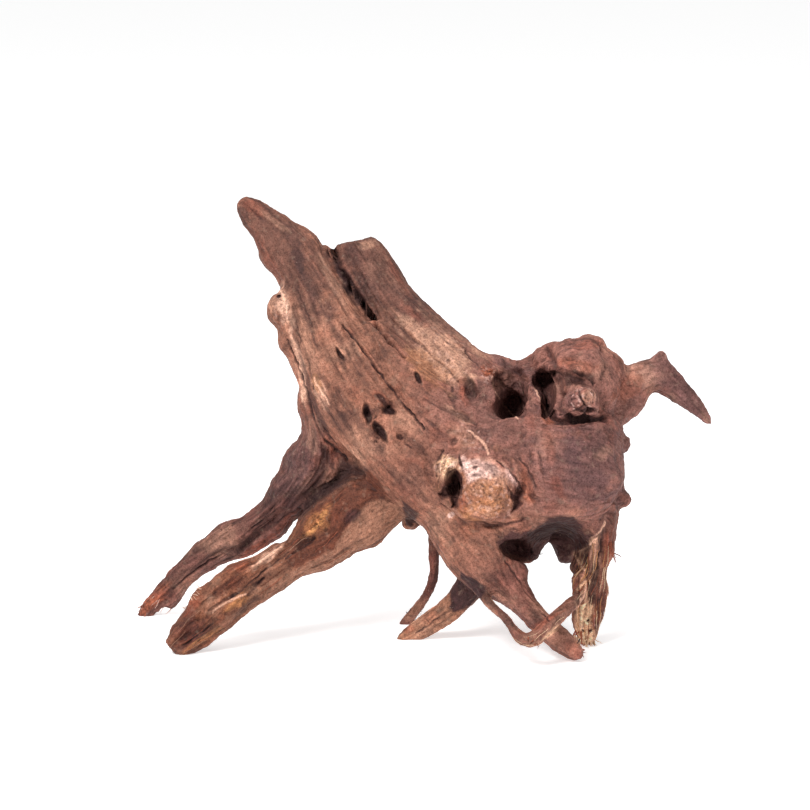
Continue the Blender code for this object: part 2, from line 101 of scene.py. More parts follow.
# Each limb's run of grain: stations (right, up, back) and reach in mm, how deep its ridges are,
# how lumpy and how streaky it is, and its tone
LIMBS = {
    "trunk": {
        "run": [(-82, 103, 19), (-60, 81, 15), (-44, 52, 8), (-31, 25, 3), (-18, 3, -1),
                (-1, -17, -4), (19, -38, -7), (36, -60, -12)],
        "reach": 24, "ridge": 0.28, "lumps": 0.34, "streaks": 0.75, "tone": "trunk_brown",
    },
    "short_prong": {
        "run": [(-27, 81, 20), (-16, 61, 16), (-8, 48, 11), (7, 31, 6), (24, 11, 1), (34, -2, -3)],
        "reach": 17, "ridge": 0.26, "lumps": 0.25, "streaks": 0.8, "tone": "prong_brown",
    },
    "burl": {
        "run": [(44, -18, -5), (62, -24, -4), (84, -26, -3), (100, -28, -2)],
        "reach": 32, "ridge": 0.12, "lumps": 0.95, "streaks": 0.35, "tone": "burl_brown",
    },
    "crown_rim": {
        "run": [(38, 14, 6), (54, 15, 9), (70, 16, 5), (84, 16, 0), (98, 8, 0)],
        "reach": 17, "ridge": 0.18, "lumps": 1.25, "streaks": 0.45, "tone": "knob_brown",
    },
    "left_rear_root": {
        "run": [(-40, 24, 5), (-42, 6, 4), (-41, -14, 5), (-43, -25, 8), (-50, -35, 14),
                (-60, -48, 20), (-82, -67, 30), (-107, -84, 41), (-134, -108, 48)],
        "reach": 11, "ridge": 0.80, "lumps": 0.75, "streaks": 1.0, "tone": "rear_root_brown",
    },
    "left_front_root": {
        "run": [(0, -38, 3), (-26, -53, 0), (-42, -66, -5), (-57, -76, -10), (-83, -94, -17),
                (-104, -112, -23), (-117, -122, -26)],
        "reach": 14, "ridge": 0.70, "lumps": 0.75, "streaks": 1.0, "tone": "amber",
    },
    "front_root": {
        "run": [(30, -52, -11), (40, -74, -18), (46, -84, -20), (60, -101, -27), (76, -116, -35),
                (90, -127, -40)],
        "reach": 13, "ridge": 0.35, "lumps": 0.45, "streaks": 0.7, "tone": "front_root_brown",
    },
    "right_root": {
        "run": [(94, -42, -12), (92, -56, -14), (93, -80, -13), (91, -109, -10), (91, -123, -10)],
        "reach": 12, "ridge": 0.95, "lumps": 0.35, "streaks": 1.5, "tone": "golden_root",
    },
    "stub_root": {
        "run": [(38, -82, -9), (32, -91, -5), (23, -101, -2), (6, -113, 2), (-4, -118, 3)],
        "reach": 7, "ridge": 0.45, "lumps": 0.25, "streaks": 1.0, "tone": "stub_tan",
    },
    "hanging_rootlet": {
        "run": [(17, -50, 9), (14.5, -60, 15), (14.5, -74, 20), (14.3, -86, 24), (10, -96, 28),
                (-2, -112, 31)],
        "reach": 3, "ridge": 0.22, "lumps": 0.12, "streaks": 0.9, "tone": "rootlet_brown",
    },
    "crossing_rootlet": {
        "run": [(37, -91, -25), (44, -102, -41), (57, -116, -52), (64, -117, -54),
                (71, -110, -52), (79, -103, -42), (86, -97, -26), (90, -93, -15)],
        "reach": 3.5, "ridge": 0.30, "lumps": 0.15, "streaks": 1.3, "tone": "rootlet_orange",
    },
    "horn": {
        "run": [(94, 2, 1), (112, 9, 3), (122, 14, 4), (128, 14.5, 5), (136, 7.6, 6),
                (154, -11, 8)],
        "reach": 9, "ridge": 0.40, "lumps": 0.45, "streaks": 0.8, "tone": "horn_grey",
    },
}

# Each packed limb's finish: pore depth, bump, and how much duller than the trunk
FINISHES = {
    "root_crown": (0.50, 0.60, 0.00),
    "long_prong": (0.45, 0.60, 0.02),
    "short_prong": (0.45, 0.55, 0.02),
    "left_rear_root": (0.70, 0.80, 0.04),
    "left_front_root": (0.70, 0.80, -0.05),
    "front_root": (0.50, 0.60, 0.00),
    "right_root": (0.80, 0.90, -0.02),
    "stub_root": (0.50, 0.60, 0.05),
    "hanging_rootlet": (0.40, 0.50, 0.03),
    "crossing_rootlet": (0.50, 0.60, 0.00),
    "horn": (0.50, 0.60, 0.03),
}

# Tones, as display red, green and blue from 0 to 255
TONES = {
    "trunk_brown": (155, 110, 90),
    "prong_brown": (116, 82, 71),
    "burl_brown": (150, 107, 97),
    "knob_brown": (158, 112, 100),
    "rear_root_brown": (124, 86, 78),
    "amber": (134, 88, 66),
    "front_root_brown": (138, 92, 82),
    "golden_root": (124, 78, 64),
    "stub_tan": (158, 116, 92),
    "rootlet_brown": (122, 80, 72),
    "rootlet_orange": (126, 84, 72),
    "horn_grey": (128, 93, 90),
    "smoke": (80, 55, 52),
    "sand": (198, 158, 134),
    "pale_torn": (224, 184, 160),
    "white_pink": (236, 208, 200),
    "pink_pale": (214, 172, 156),
    "gold": (196, 138, 88),
    # Painted highlight on the amber wood
    "gold_highlight": (222, 168, 108),
    "dark_amber": (66, 32, 20),
    "red_amber": (104, 58, 42),
    "sapwood": (164, 122, 100),
    "rust": (150, 80, 58),
    "orange": (176, 100, 66),
    "purple_grey": (110, 82, 84),
    # Near black: painted shade in cracks, pits, hollows and folds, and the hanging hairs' own colour
    "black_shade_and_hair": (64, 42, 42),
    # Painted shade in hollows, creases and under the arch, and on the fibres hanging there
    "painted_shade_brown": (84, 54, 54),
    "spoon_red": (112, 68, 58),
    "fibre_cream": (228, 190, 156),
    "stub_bark": (66, 42, 46),
}

# How deep the stain is on dark wood, and how much less so on pale wood
STAIN_BASE = 0.68
STAIN_RISE = 0.55
WARMTH = np.array((1.12, 0.99, 0.95))

# Soft stains on the front: tone, x, y, half length, half width, turn in degrees, strength
STAINS = [
    ("prong_brown", 285, 255, 84, 40, -58, 0.90),
    ("prong_brown", 385, 285, 60, 30, -52, 0.60),
    ("rust", 254, 208, 14, 6, -35, 0.35),  # long prong
    ("smoke", 243, 214, 9, 4, -60, 0.35),
    ("smoke", 292, 238, 16, 9, -45, 0.50),
    ("smoke", 298, 260, 13, 6, -60, 0.80),
    ("smoke", 311, 288, 30, 6, -62, 0.50),
    ("smoke", 324, 309, 12, 8, -60, 0.45),
    ("sand", 334, 284, 34, 5, -62, 0.35),
    ("sand", 275, 222, 24, 3, -38, 0.30),
    ("rust", 268, 258, 34, 5, -62, 0.25),
    ("sand", 368, 245, 10, 5, 10, 0.55),  # short prong
    ("smoke", 354, 256, 12, 9, -60, 0.60),
    ("smoke", 369, 283, 20, 9, -60, 0.45),
    ("smoke", 412, 303, 13, 8, -40, 0.55),
    # Painted shade along the main split
    ("black_shade_and_hair", 350, 284, 40, 4.5, -58, 0.95),
    ("rust", 397, 276, 26, 3, -58, 0.25),
    ("sand", 436, 345, 46, 19, -42, 0.75),  # shoulder
    ("gold", 428, 368, 28, 12, -42, 0.35),
    ("sand", 452, 372, 22, 14, -50, 0.50),
    ("sand", 478, 352, 16, 7, -40, 0.60),
    ("pale_torn", 285, 306, 19, 7, -78, 0.85),  # knot and torn flank
    ("sand", 272, 305, 12, 5, -85, 0.50),
    ("pale_torn", 297, 352, 22, 3, -68, 0.60),
    ("pale_torn", 303, 387, 22, 4, -78, 0.65),
    ("pale_torn", 320, 392, 16, 7, -60, 0.50),
    ("gold", 317, 384, 9, 4, -70, 0.50),
    ("smoke", 312, 396, 36, 3, -74, 0.60),
    ("smoke", 347, 422, 16, 11, 20, 0.45),  # lower trunk
    ("smoke", 386, 462, 40, 6, -55, 0.30),
    ("sand", 350, 452, 34, 5, -44, 0.25),
    ("rust", 398, 490, 34, 9, -50, 0.20),
    ("rust", 381, 400, 12, 7, -45, 0.35),
    ("rust", 334, 447, 17, 9, -40, 0.35),
    ("sand", 462, 432, 24, 9, -35, 0.30),  # boss
    ("gold", 484, 487, 38, 34, 0, 0.30),
    # Pale pinkish wood on the boss's upper left, made paler still as a painted highlight
    ("pink_pale", 492, 470, 26, 13, -30, 0.60),
    ("white_pink", 480, 468, 20, 8, -22, 0.55),
    ("white_pink", 466, 466, 12, 5, -75, 0.60),
    ("white_pink", 473, 477, 8, 6, 30, 0.70),
    ("white_pink", 512, 478, 14, 3.5, -58, 0.60),
    ("gold", 494, 486, 14, 11, 0, 0.32),
    ("rust", 478, 500, 16, 7, -20, 0.35),
    ("gold", 486, 508, 26, 12, 10, 0.40),
    ("rust", 463, 503, 6, 9, 0, 0.50),
    ("orange", 527, 484, 24, 6, -78, 0.45),
    ("fibre_cream", 446, 467, 12, 12, 20, 0.85),
    ("sand", 460, 415, 14, 4, -35, 0.40),
    ("white_pink", 450, 516, 3, 2, 20, 0.60),
    ("purple_grey", 580, 466, 52, 44, 0, 0.45),  # burl
    ("purple_grey", 573, 444, 11, 20, 10, 0.60),
    ("purple_grey", 596, 484, 26, 14, -30, 0.40),
    ("sand", 604, 453, 9, 6, 30, 0.25),
    ("rust", 549, 446, 23, 6, -80, 0.28),
    ("rust", 557, 486, 16, 5, -65, 0.35),
    ("rust", 463, 392, 13, 5, -80, 0.55),  # crown rim and its hollows
    ("orange", 487, 372, 8, 6, -50, 0.80),
    ("purple_grey", 505, 365, 16, 6, -25, 0.55),
    ("smoke", 516, 378, 13, 9, -55, 0.55),
    ("purple_grey", 538, 392, 28, 6, -66, 0.50),
    ("orange", 548, 421, 7, 5, -30, 0.65),
    ("orange", 575, 364, 22, 5, -14, 0.30),  # knob
    ("rust", 590, 345, 16, 5, 10, 0.35),
    # Painted shadow under the knob's lip
    ("smoke", 577, 380, 17, 7, -14, 0.80),
    ("sand", 588, 396, 9, 8, 0, 0.45),
    ("purple_grey", 571, 400, 7, 10, 0, 0.40),
    ("orange", 628, 388, 18, 12, 40, 0.28),  # horn
    ("smoke", 690, 392, 30, 5, -48, 0.35),
    ("sand", 706, 418, 7, 3, -60, 0.35),
    # Dark purple-brown wood on the rear root by the crook, deepened with painted shade
    ("smoke", 308, 480, 36, 12, 52, 0.60),  # left rear root
    ("smoke", 292, 472, 30, 11, 62, 0.45),
    ("purple_grey", 300, 468, 40, 20, 60, 0.40),
    ("sand", 312, 442, 16, 5, -78, 0.30),
    ("smoke", 272, 498, 14, 7, 35, 0.60),
    ("smoke", 255, 537, 36, 5, 39, 0.65),
    ("rust", 264, 541, 44, 4, 39, 0.60),
    ("pink_pale", 205, 580, 42, 2.5, 31, 0.40),
    ("orange", 152, 601, 18, 7, 48, 0.60),
    ("smoke", 188, 575, 24, 2.5, 38, 0.50),
    ("pale_torn", 268, 556, 22, 4, 38, 0.85),  # left front root
    ("rust", 240, 565, 20, 6, 24, 0.45),
    ("red_amber", 225, 586, 22, 7, 28, 0.85),
    ("gold", 241, 600, 20, 5, 34, 0.70),
    ("dark_amber", 252, 590, 13, 4, 42, 0.85),
    ("sapwood", 292, 578, 46, 7, 22, 0.75),
    ("sapwood", 240, 614, 30, 4, 33, 0.60),
    ("rust", 190, 607, 16, 6, 35, 0.55),
    ("spoon_red", 190, 630, 20, 13, 42, 0.90),
    ("dark_amber", 204, 627, 18, 4, 30, 0.60),
    ("gold", 202, 641, 22, 3, 32, 0.65),
    ("smoke", 535, 588, 20, 4, -66, 0.55),  # front root
    ("smoke", 536, 620, 8, 5, -40, 0.50),
    ("rust", 574, 650, 12, 6, -42, 0.35),
    ("smoke", 496, 584, 20, 5, -45, 0.35),
    ("fibre_cream", 588, 546, 13, 4, 48, 0.75),  # right root
    ("sand", 594, 556, 22, 8, -82, 0.50),
    ("sand", 583, 592, 18, 7, 80, 0.55),
    ("gold", 584, 622, 22, 9, 88, 0.50),
    ("fibre_cream", 580, 561, 11, 3, -58, 0.75),
    ("dark_amber", 589, 571, 13, 6, -80, 0.60),
    ("fibre_cream", 582, 586, 9, 2.5, 35, 0.75),
    ("fibre_cream", 585, 598, 12, 2, 70, 0.65),
    ("dark_amber", 593, 597, 10, 4, -75, 0.50),
    ("fibre_cream", 583, 618, 20, 9, 84, 0.95),
    ("orange", 597, 614, 14, 4, 76, 0.50),
    ("fibre_cream", 589, 637, 9, 8, 90, 0.80),
    ("rust", 607, 550, 26, 4, 84, 0.50),
    ("sand", 420, 634, 18, 6, 28, 0.40),  # stub root and rootlets
    ("rust", 410, 630, 6, 4, 30, 0.45),
    ("smoke", 438, 556, 30, 2.5, 90, 0.50),
    ("sapwood", 412, 612, 12, 4, 45, 0.55),
    ("smoke", 500, 612, 28, 4, -50, 0.60),
    ("fibre_cream", 552, 632, 12, 2.5, 42, 0.60),
    ("rust", 540, 625, 22, 3, 36, 0.45),
]

# Stains on top of the amber patch of the left front root, and golden highlights painted on it
AMBER_STAINS = [
    ("gold", 319, 520, 19, 10, 50, 0.45),
    ("gold_highlight", 316, 527, 11, 3, 40, 0.45),
    ("gold_highlight", 324, 514, 8, 2.5, 55, 0.40),
    ("stub_bark", 351, 517, 9, 7, 45, 0.70),
    ("dark_amber", 335, 487, 22, 5, 28, 0.55),
    ("dark_amber", 300, 546, 16, 4, 33, 0.90),
]

# Outlines of hollows and of patches with a crisp edge, as the corners that the photo shows
OUTLINES = {
    "crown_hollow": [(486, 369), (493, 368), (500, 375), (506, 385), (514, 389), (521, 394),
                     (527, 404), (528, 414), (523, 421), (514, 417), (506, 410), (499, 402),
                     (494, 391), (490, 379)],
    "side_hollow": [(535, 370), (546, 371), (556, 371), (554, 383), (548, 394), (549, 403),
                    (557, 413), (559, 424), (551, 421), (544, 408), (542, 396), (537, 382)],
    "boss_cavity": [(437, 494), (442, 486), (450, 482), (452, 474), (457, 470), (463, 478),
                    (464, 488), (459, 496), (458, 509), (451, 508), (449, 498), (441, 500)],
    "boss_slit": [(506, 483), (512, 490), (520, 497), (523, 504), (517, 510), (510, 512),
                  (512, 502), (507, 494)],
    "arch_inside": [(497, 543), (505, 537), (512, 533), (531, 531), (540, 527), (548, 519),
                    (562, 516), (574, 518), (580, 525), (585, 533), (597, 534), (590, 541),
                    (587, 547), (571, 552), (571, 566), (545, 566), (527, 560), (514, 555),
                    (504, 551)],
    "split_inside": [(329, 247), (334, 246), (342, 261), (350, 275), (358, 289), (366, 302),
                     (375, 316), (371, 319), (362, 308), (353, 295), (345, 281), (337, 267)],
    "arch_roof": [(528, 532), (538, 526), (547, 518), (562, 515), (574, 518), (581, 528),
                  (572, 538), (556, 536), (541, 540), (528, 542)],
    "crook_valley": [(341, 455), (352, 463), (362, 466), (372, 469), (364, 475), (352, 479),
                     (341, 488), (326, 498), (312, 509), (300, 518), (297, 513), (310, 500),
                     (322, 488), (334, 477), (338, 466)],
    "amber_zone": [(371, 470), (382, 485), (386, 497), (372, 502), (362, 511), (349, 524),
                   (346, 532), (340, 548), (326, 553), (312, 560), (296, 568), (284, 566),
                   (291, 545), (300, 527), (312, 511), (330, 497), (352, 480)],
    "sapwood_patch": [(379, 499), (390, 501), (403, 500), (405, 521), (386, 536), (367, 549),
                      (340, 563), (310, 574), (296, 571), (316, 559), (333, 549), (342, 536),
                      (349, 523), (361, 513)],
    "stub_patch": [(462, 573), (452, 586), (449, 608), (455, 613), (464, 610), (473, 603),
                   (482, 597), (487, 590), (478, 580)],
    "rear_stump": [(404, 500), (411, 505), (418, 514), (412, 526), (405, 524)],
}

# How deep an outline is carved in mm, and how wide its wall is in pixels
CARVINGS = {
    "crown_hollow": (3.0, 5.0),
    "side_hollow": (5.0, 3.0),
    "split_inside": (4.0, 2.5),
    "boss_cavity": (7.0, 4.0),
    "boss_slit": (4.0, 4.0),
}

# Patches by outline: tone, how soft the edge is in pixels, and strength
LOW_PATCHES = {
    "amber_zone": ("red_amber", 3.0, 0.88),
    "sapwood_patch": ("sapwood", 1.6, 0.92),
    "stub_patch": ("stub_bark", 1.5, 0.95),
}
# Painted shade in the hollows, slits and valleys and under the arch, laid on by outline
SHADE_PATCHES = {
    "crook_valley": ("black_shade_and_hair", 4.0, 0.85),
    "rear_stump": ("black_shade_and_hair", 1.5, 0.90),
    "arch_inside": ("painted_shade_brown", 1.5, 0.90),
    "split_inside": ("black_shade_and_hair", 1.2, 0.90),
    "arch_roof": ("black_shade_and_hair", 2.5, 0.70),
    "crown_hollow": ("painted_shade_brown", 3.0, 0.30),
    "side_hollow": ("painted_shade_brown", 2.5, 0.55),
    "boss_cavity": ("painted_shade_brown", 3.0, 0.80),
    "boss_slit": ("painted_shade_brown", 2.5, 0.80),
}

# Pits: x, y, half length, half width, turn, how dark (painted shade), and how deep in mm
PITS = {
    "pit_high": (341, 354, 9, 3.0, -66, 0.95, 3.0),
    "pit_middle": (418, 379, 8, 3.2, -56, 0.95, 3.0),
    "pit_left": (367, 413, 12, 4.0, -80, 0.95, 4.0),
    "pit_low": (379, 431, 14, 4.2, -60, 0.95, 4.0),
    "pit_right": (389, 410, 8, 5.0, -24, 0.95, 4.0),
    "pit_right_tail": (381, 400, 9, 3.4, -44, 0.60, 1.4),
    "spot_low": (399, 438, 4, 3.0, 0, 0.60, 0.8),
    "spot_lower": (409, 447, 5, 2.0, -35, 0.55, 0.6),
    "spot_boss": (454, 441, 5, 3.2, 40, 0.40, 0.8),
    "spot_shoulder": (448, 361, 2.6, 2.2, 0, 0.60, 0.5),
    "spot_brow": (452, 389, 2.6, 2.2, 0, 0.55, 0.5),
    "brow_pit": (470, 389, 13, 7.0, -80, 0.62, 3.5),
    "knot_eye": (278, 296, 3, 2.5, 0, 1.0, 2.0),
    "flank_slot": (324, 426, 9, 2.6, -62, 0.75, 1.2),
    "rear_wedge": (325, 452, 13, 4.0, -72, 0.60, 1.2),
    "boss_seam": (462, 462, 9, 1.6, -78, 0.75, 1.2),
    "boss_nick": (474, 466, 4, 2.0, 20, 0.60, 0.8),
    "nub_under": (588, 411, 12, 3.0, 0, 0.85, 1.8),
    "root_pit": (588, 621, 2.4, 1.8, 0, 0.90, 0.8),
    "root_pit_low": (590, 629, 2.6, 1.8, 30, 0.90, 0.8),
    "root_pit_side": (583, 631, 1.8, 1.4, 0, 0.80, 0.6),
}

# Swellings and dents: x, y, half length, half width, turn, mm out
PRESSES = {
    "boss_bump": (446, 467, 12, 12, 0, 3.2),
    "boss_brow": (470, 451, 22, 7, -18, 1.6),
    "boss_crown": (489, 481, 22, 18, 0, 1.8),
    "boss_side": (521, 480, 26, 5, -70, 1.2),
    "boss_ditch": (532, 488, 26, 5, -72, -1.2),
    "nub": (585, 399, 13, 12, 20, 4.4),
    "nub_foot": (566, 412, 9, 6, -30, 1.6),
    "knob_lip": (573, 366, 20, 5, -14, 3.2),
    "knob_recess": (576, 379, 19, 7, -16, -4.6),
    "septum": (538, 394, 28, 6, -66, 3.0),
    "crown_wall": (517, 379, 14, 9, -55, -3.0),
    "brow_dent": (480, 399, 16, 12, -40, -1.4),
    "brow_fold": (462, 402, 14, 5, -75, 1.0),
    "knob_mass": (580, 350, 32, 15, -6, 4.0),
    "knob_cleft": (546, 352, 5, 14, -30, -3.0),
    "knob_step": (602, 352, 16, 4, -50, -2.0),
    "rim_top": (512, 358, 20, 6, -14, 2.4),
    "rim_dip": (530, 364, 7, 9, 0, -2.4),
    "nub_side": (602, 398, 6, 12, 0, -2.2),
    "burl_shoulder": (600, 424, 20, 7, 4, 2.0),
    "burl_groove": (566, 424, 30, 4, 2, -2.2),
    "burl_corner": (616, 468, 8, 20, 10, -1.6),
    "burl_cheek": (552, 500, 12, 10, 0, -1.4),
    "boss_wall": (430, 470, 6, 22, 14, -1.4),
    "boss_under": (486, 527, 26, 5, 6, -1.4),
    "knob_overhang": (556, 374, 16, 8, -62, -4.5),
    "knob_side": (612, 372, 14, 9, -50, -2.4),
    "horn_lump": (622, 396, 12, 11, 0, 1.8),
    "burl_lump_high": (556, 432, 14, 9, 20, 1.4),
    "burl_lump_right": (604, 446, 12, 18, 0, 1.3),
    "burl_lump_low": (580, 497, 26, 10, 6, 1.5),
    "burl_fold": (537, 470, 26, 5, -80, 1.6),
    "burl_fold_ditch": (529, 446, 20, 5, -70, -1.4),
    "brow_ridge": (458, 372, 22, 6, -60, 1.3),
    "arch_lip": (560, 512, 34, 5, 0, 2.0),
    "burl_dent": (573, 447, 14, 22, 8, -1.4),
    "burl_dent_low": (600, 486, 20, 14, -20, -0.8),
    "burl_ridge": (548, 455, 34, 7, -76, 1.0),
    "knot": (276, 306, 16, 9, -80, 1.4),
    "sapwood": (374, 528, 30, 14, 28, 0.8),
    "amber_hollow": (320, 522, 14, 9, 45, -1.4),
    "shelf": (225, 586, 22, 7, 28, -1.4),
    "shelf_edge": (222, 577, 20, 3, 28, 1.0),
    "spoon_bowl": (192, 630, 22, 9, 42, -1.8),
    "rear_trough": (255, 537, 36, 5, 39, -1.2),
}

# Cracks, darkened with painted shade: points (x, y, half width) and how deep they go in mm
THINNEST_CRACK = 0.75
CRACKS = {
    "main_split": ([(330, 250, 2.8), (337, 262, 2.8), (345, 275, 2.6), (352, 287, 2.4),
                    (360, 299, 2.2), (369, 313, 1.8), (379, 328, 1.4), (391, 343, 1.0),
                    (405, 357, 0.6)], 7.0),
    "long_check": ([(343, 325, 0.3), (355, 340, 0.6), (367, 356, 0.8), (377, 370, 0.8),
                    (388, 384, 0.7), (395, 392, 0.9), (398, 399, 0.9), (405, 406, 0.7),
                    (415, 418, 0.5), (424, 429, 0.3)], 2.0),
    "brow_check": ([(466, 350, 0.5), (474, 360, 0.6), (482, 369, 0.5)], 1.2),
    "flank_check": ([(286, 340, 0.5), (299, 368, 0.9), (308, 396, 1.0), (312, 416, 0.9),
                     (322, 437, 1.0), (334, 448, 0.9), (347, 460, 0.7)], 1.8),
    "flank_check_side": ([(296, 330, 0.2), (308, 362, 0.35), (314, 390, 0.3)], 0.9),
    "prong_check": ([(285, 262, 0.15), (300, 296, 0.25), (312, 326, 0.15)], 0.5),
    "nub_side_crack": ([(584, 404, 0.7), (577, 410, 0.9), (568, 413, 0.7)], 1.3),
    "nub_low_crack": ([(589, 409, 0.8), (584, 416, 1.1), (576, 421, 0.8)], 1.5),
    "nub_crack": ([(578, 389, 0.6), (580, 398, 1.2), (584, 404, 1.0), (589, 409, 1.3),
                   (597, 411, 0.9)], 2.2),
    "nub_under": ([(561, 414, 1.2), (574, 420, 1.7), (590, 420, 1.9), (603, 417, 1.2)], 2.2),
    "knob_fold": ([(554, 369, 0.6), (563, 367, 1.1), (575, 371, 1.5), (587, 377, 1.1),
                   (595, 384, 0.6)], 2.2),
    "boss_ring": ([(497, 461, 0.5), (508, 469, 0.7), (517, 480, 0.8), (523, 492, 0.8)], 1.2),
    "boss_left": ([(443, 450, 0.5), (436, 462, 0.7), (437, 476, 0.6)], 0.9),
    "boss_outer": ([(519, 458, 0.2), (529, 470, 0.4), (535, 486, 0.3)], 1.0),
    "rear_check": ([(277, 501, 0.9), (264, 519, 1.0), (243, 536, 0.9)], 1.4),
    "rear_check_low": ([(216, 557, 0.5), (192, 574, 0.9), (172, 589, 0.6)], 1.1),
    "amber_check": ([(314, 539, 1.4), (301, 548, 1.7), (286, 558, 1.0)], 2.2),
    "root_check": ([(264, 579, 1.2), (251, 592, 1.6), (242, 603, 1.0)], 2.0),
    "root_check_high": ([(288, 553, 0.6), (264, 571, 0.9), (244, 588, 0.6)], 1.3),
    "shelf_check": ([(243, 590, 0.9), (224, 600, 1.2), (208, 610, 0.7)], 1.4),
    "spoon_check": ([(213, 623, 0.9), (200, 632, 1.2), (184, 645, 0.8)], 1.5),
    "right_check": ([(588, 545, 0.6), (586, 571, 1.0), (590, 602, 0.8)], 1.5),
    "right_check_side": ([(602, 540, 0.5), (599, 570, 0.9), (597, 603, 0.7)], 1.3),
    "right_check_left": ([(577, 566, 0.5), (579, 590, 0.8), (580, 612, 0.6)], 1.0),
    "front_check": ([(505, 560, 0.4), (526, 592, 0.7), (549, 621, 0.5)], 0.8),
    "stub_check": ([(446, 612, 0.5), (430, 624, 0.8), (416, 633, 0.5)], 0.7),
}

# Broad creases, darkened with painted shade: points (x, y, half width) and how deep they go in mm
CREASES = {
    "knob_left": ([(547, 346, 2.0), (552, 360, 3.0), (557, 378, 3.4), (562, 394, 2.4)], 2.4),
    "knob_under": ([(562, 394, 2.0), (560, 408, 2.4), (572, 420, 2.6), (604, 420, 2.0)], 2.0),
    "knob_right": ([(600, 345, 1.8), (606, 362, 2.4), (603, 380, 1.6)], 1.6),
    "rim_left": ([(500, 352, 1.5), (506, 366, 2.2), (520, 374, 1.6)], 1.4),
    "brow_left": ([(449, 396, 1.4), (458, 412, 2.0), (476, 424, 1.6)], 1.0),
    "boss_under": ([(440, 506, 1.5), (462, 522, 2.4), (496, 528, 2.2), (522, 520, 1.4)], 1.2),
    "shoulder": ([(400, 330, 1.2), (428, 352, 1.8), (462, 384, 1.4)], 0.8),
}

# Raised pale veins: points (x, y, half width)
VEINS = {
    "squiggle": [(469, 431, 0.7), (478, 437, 1.3), (486, 446, 1.4), (488, 454, 0.9)],
    "hollow_lip": [(491, 376, 0.6), (495, 392, 0.8), (504, 406, 0.8), (518, 419, 0.7)],
    "septum_lip": [(534, 386, 0.6), (541, 402, 0.8), (548, 417, 0.7)],
    "flank_vein": [(300, 366, 0.8), (305, 384, 1.3), (304, 402, 0.8)],
    "flank_vein_side": [(314, 378, 0.7), (322, 392, 1.0), (330, 404, 0.6)],
    "knot_vein": [(281, 291, 0.8), (287, 305, 1.4), (288, 322, 0.8)],
    "root_vein": [(596, 538, 0.7), (589, 546, 1.0), (580, 552, 0.6)],
    "root_vein_left": [(575, 555, 0.7), (580, 563, 1.0), (584, 570, 0.5)],
    "root_vein_low": [(587, 582, 0.6), (583, 596, 0.9), (578, 606, 0.6)],
    "amber_vein": [(284, 545, 0.8), (268, 557, 1.3), (252, 567, 0.8)],
    "shelf_vein": [(246, 594, 0.8), (228, 602, 1.2), (212, 612, 0.8)],
    "arch_right": [(604, 522, 0.4), (600, 531, 0.7), (590, 539, 0.6)],
}

# Knots that the grain bends round: x, y, radius
KNOTS = {
    "boss": (481, 484, 42),
    "knob": (578, 388, 36),
    "nub": (582, 402, 16),
    "crown_hollow": (511, 399, 24),
    "arch": (553, 556, 46),
    "pits": (377, 416, 18),
    "prong_knot": (279, 304, 16),
    "brow_pit": (469, 390, 14),
    "amber_knot": (319, 524, 18),
}

# Where the wood is rough and pitted: x, y, half length, half width, turn, how rough
ROUGH_PLACES = {
    "boss": (486, 492, 38, 28, -20, 0.55),
    "boss_bump": (446, 464, 12, 11, 0, 1.0),
    "nub": (582, 401, 16, 14, 0, 0.9),
    "knot": (281, 308, 22, 9, -80, 0.35),
    "rim": (488, 374, 11, 8, -50, 0.9),
    "root_end": (588, 628, 18, 11, 90, 0.55),
    "rear_tip": (143, 610, 12, 9, 45, 0.6),
    "shoulder": (448, 356, 40, 22, -42, 0.25),
    "squiggles": (474, 436, 20, 14, -35, 0.5),
}

# Pulls of the outline in the picture: x, y, radius, and how far right and down in pixels
PULLS = {
    "split_top": (332, 257, 14, -5, -1),
    "split_left": (341, 290, 8, 2, 0),
    "split_right": (364, 290, 9, -4, 1),
    "split_right_high": (348, 262, 7, -4, 0),
    "prong_left_high": (246, 228, 12, -4, 0),
    "prong_left_low": (264, 262, 14, -4, 1),
    "prong_right": (300, 220, 12, -2, 1),
    "short_top": (364, 238, 16, 0, 3),
    "saddle": (516, 350, 17, 0, 8),
    "crown_corner": (613, 346, 9, -4, 2),
    "burl_right": (621, 426, 13, 5, 0),
    "burl_right_low": (621, 482, 12, 3, 0),
    "front_root_right": (520, 568, 12, 7, 0),
    "right_root_left": (577, 566, 10, -5, 0),
    "right_root_right": (619, 574, 16, -8, 0),
    "right_root_low": (613, 602, 12, -3, 0),
    "crossing_left": (503, 624, 16, 3, -3),
    "front_tip": (587, 658, 13, -2, -3),
    "rear_root_end": (166, 588, 24, -1, -6),
    "rear_low_edge": (176, 603, 10, 0, 6),
    "rear_low_tip": (152, 617, 11, 0, 3),
    "rear_root_middle": (205, 552, 24, 0, -6),
    "rear_tip": (138, 616, 11, 0, 2),
    "front_left_middle": (240, 606, 40, 0, -6),
    "front_left_high": (200, 600, 15, -2, -5),
    "spoon_end": (181, 643, 15, 3, 1),
    "front_left_belly": (374, 533, 17, 0, 7),
    "front_left_low": (330, 562, 15, 0, 3),
    "front_left_wedge": (282, 530, 12, 0, 4),
    "rear_wedge": (262, 532, 12, 0, -3),
    "crook_high": (298, 455, 15, -8, 0),
    "crook_low": (280, 485, 16, -5, -1),
}

# Pulls of one limb alone, where limbs cross in the picture
LIMB_PULLS = {
    "short_prong_side": ("short_prong", 354, 282, 18, -6, 1),
    "wedge_low_side": ("left_front_root", 290, 534, 13, 1, 7),
    "wedge_high_side": ("left_rear_root", 284, 520, 14, -2, -4),
    "rear_root_brow": ("left_rear_root", 226, 530, 18, -2, -5),
    "rear_ragged_edge": ("left_rear_root", 176, 597, 16, 1, 6),
}

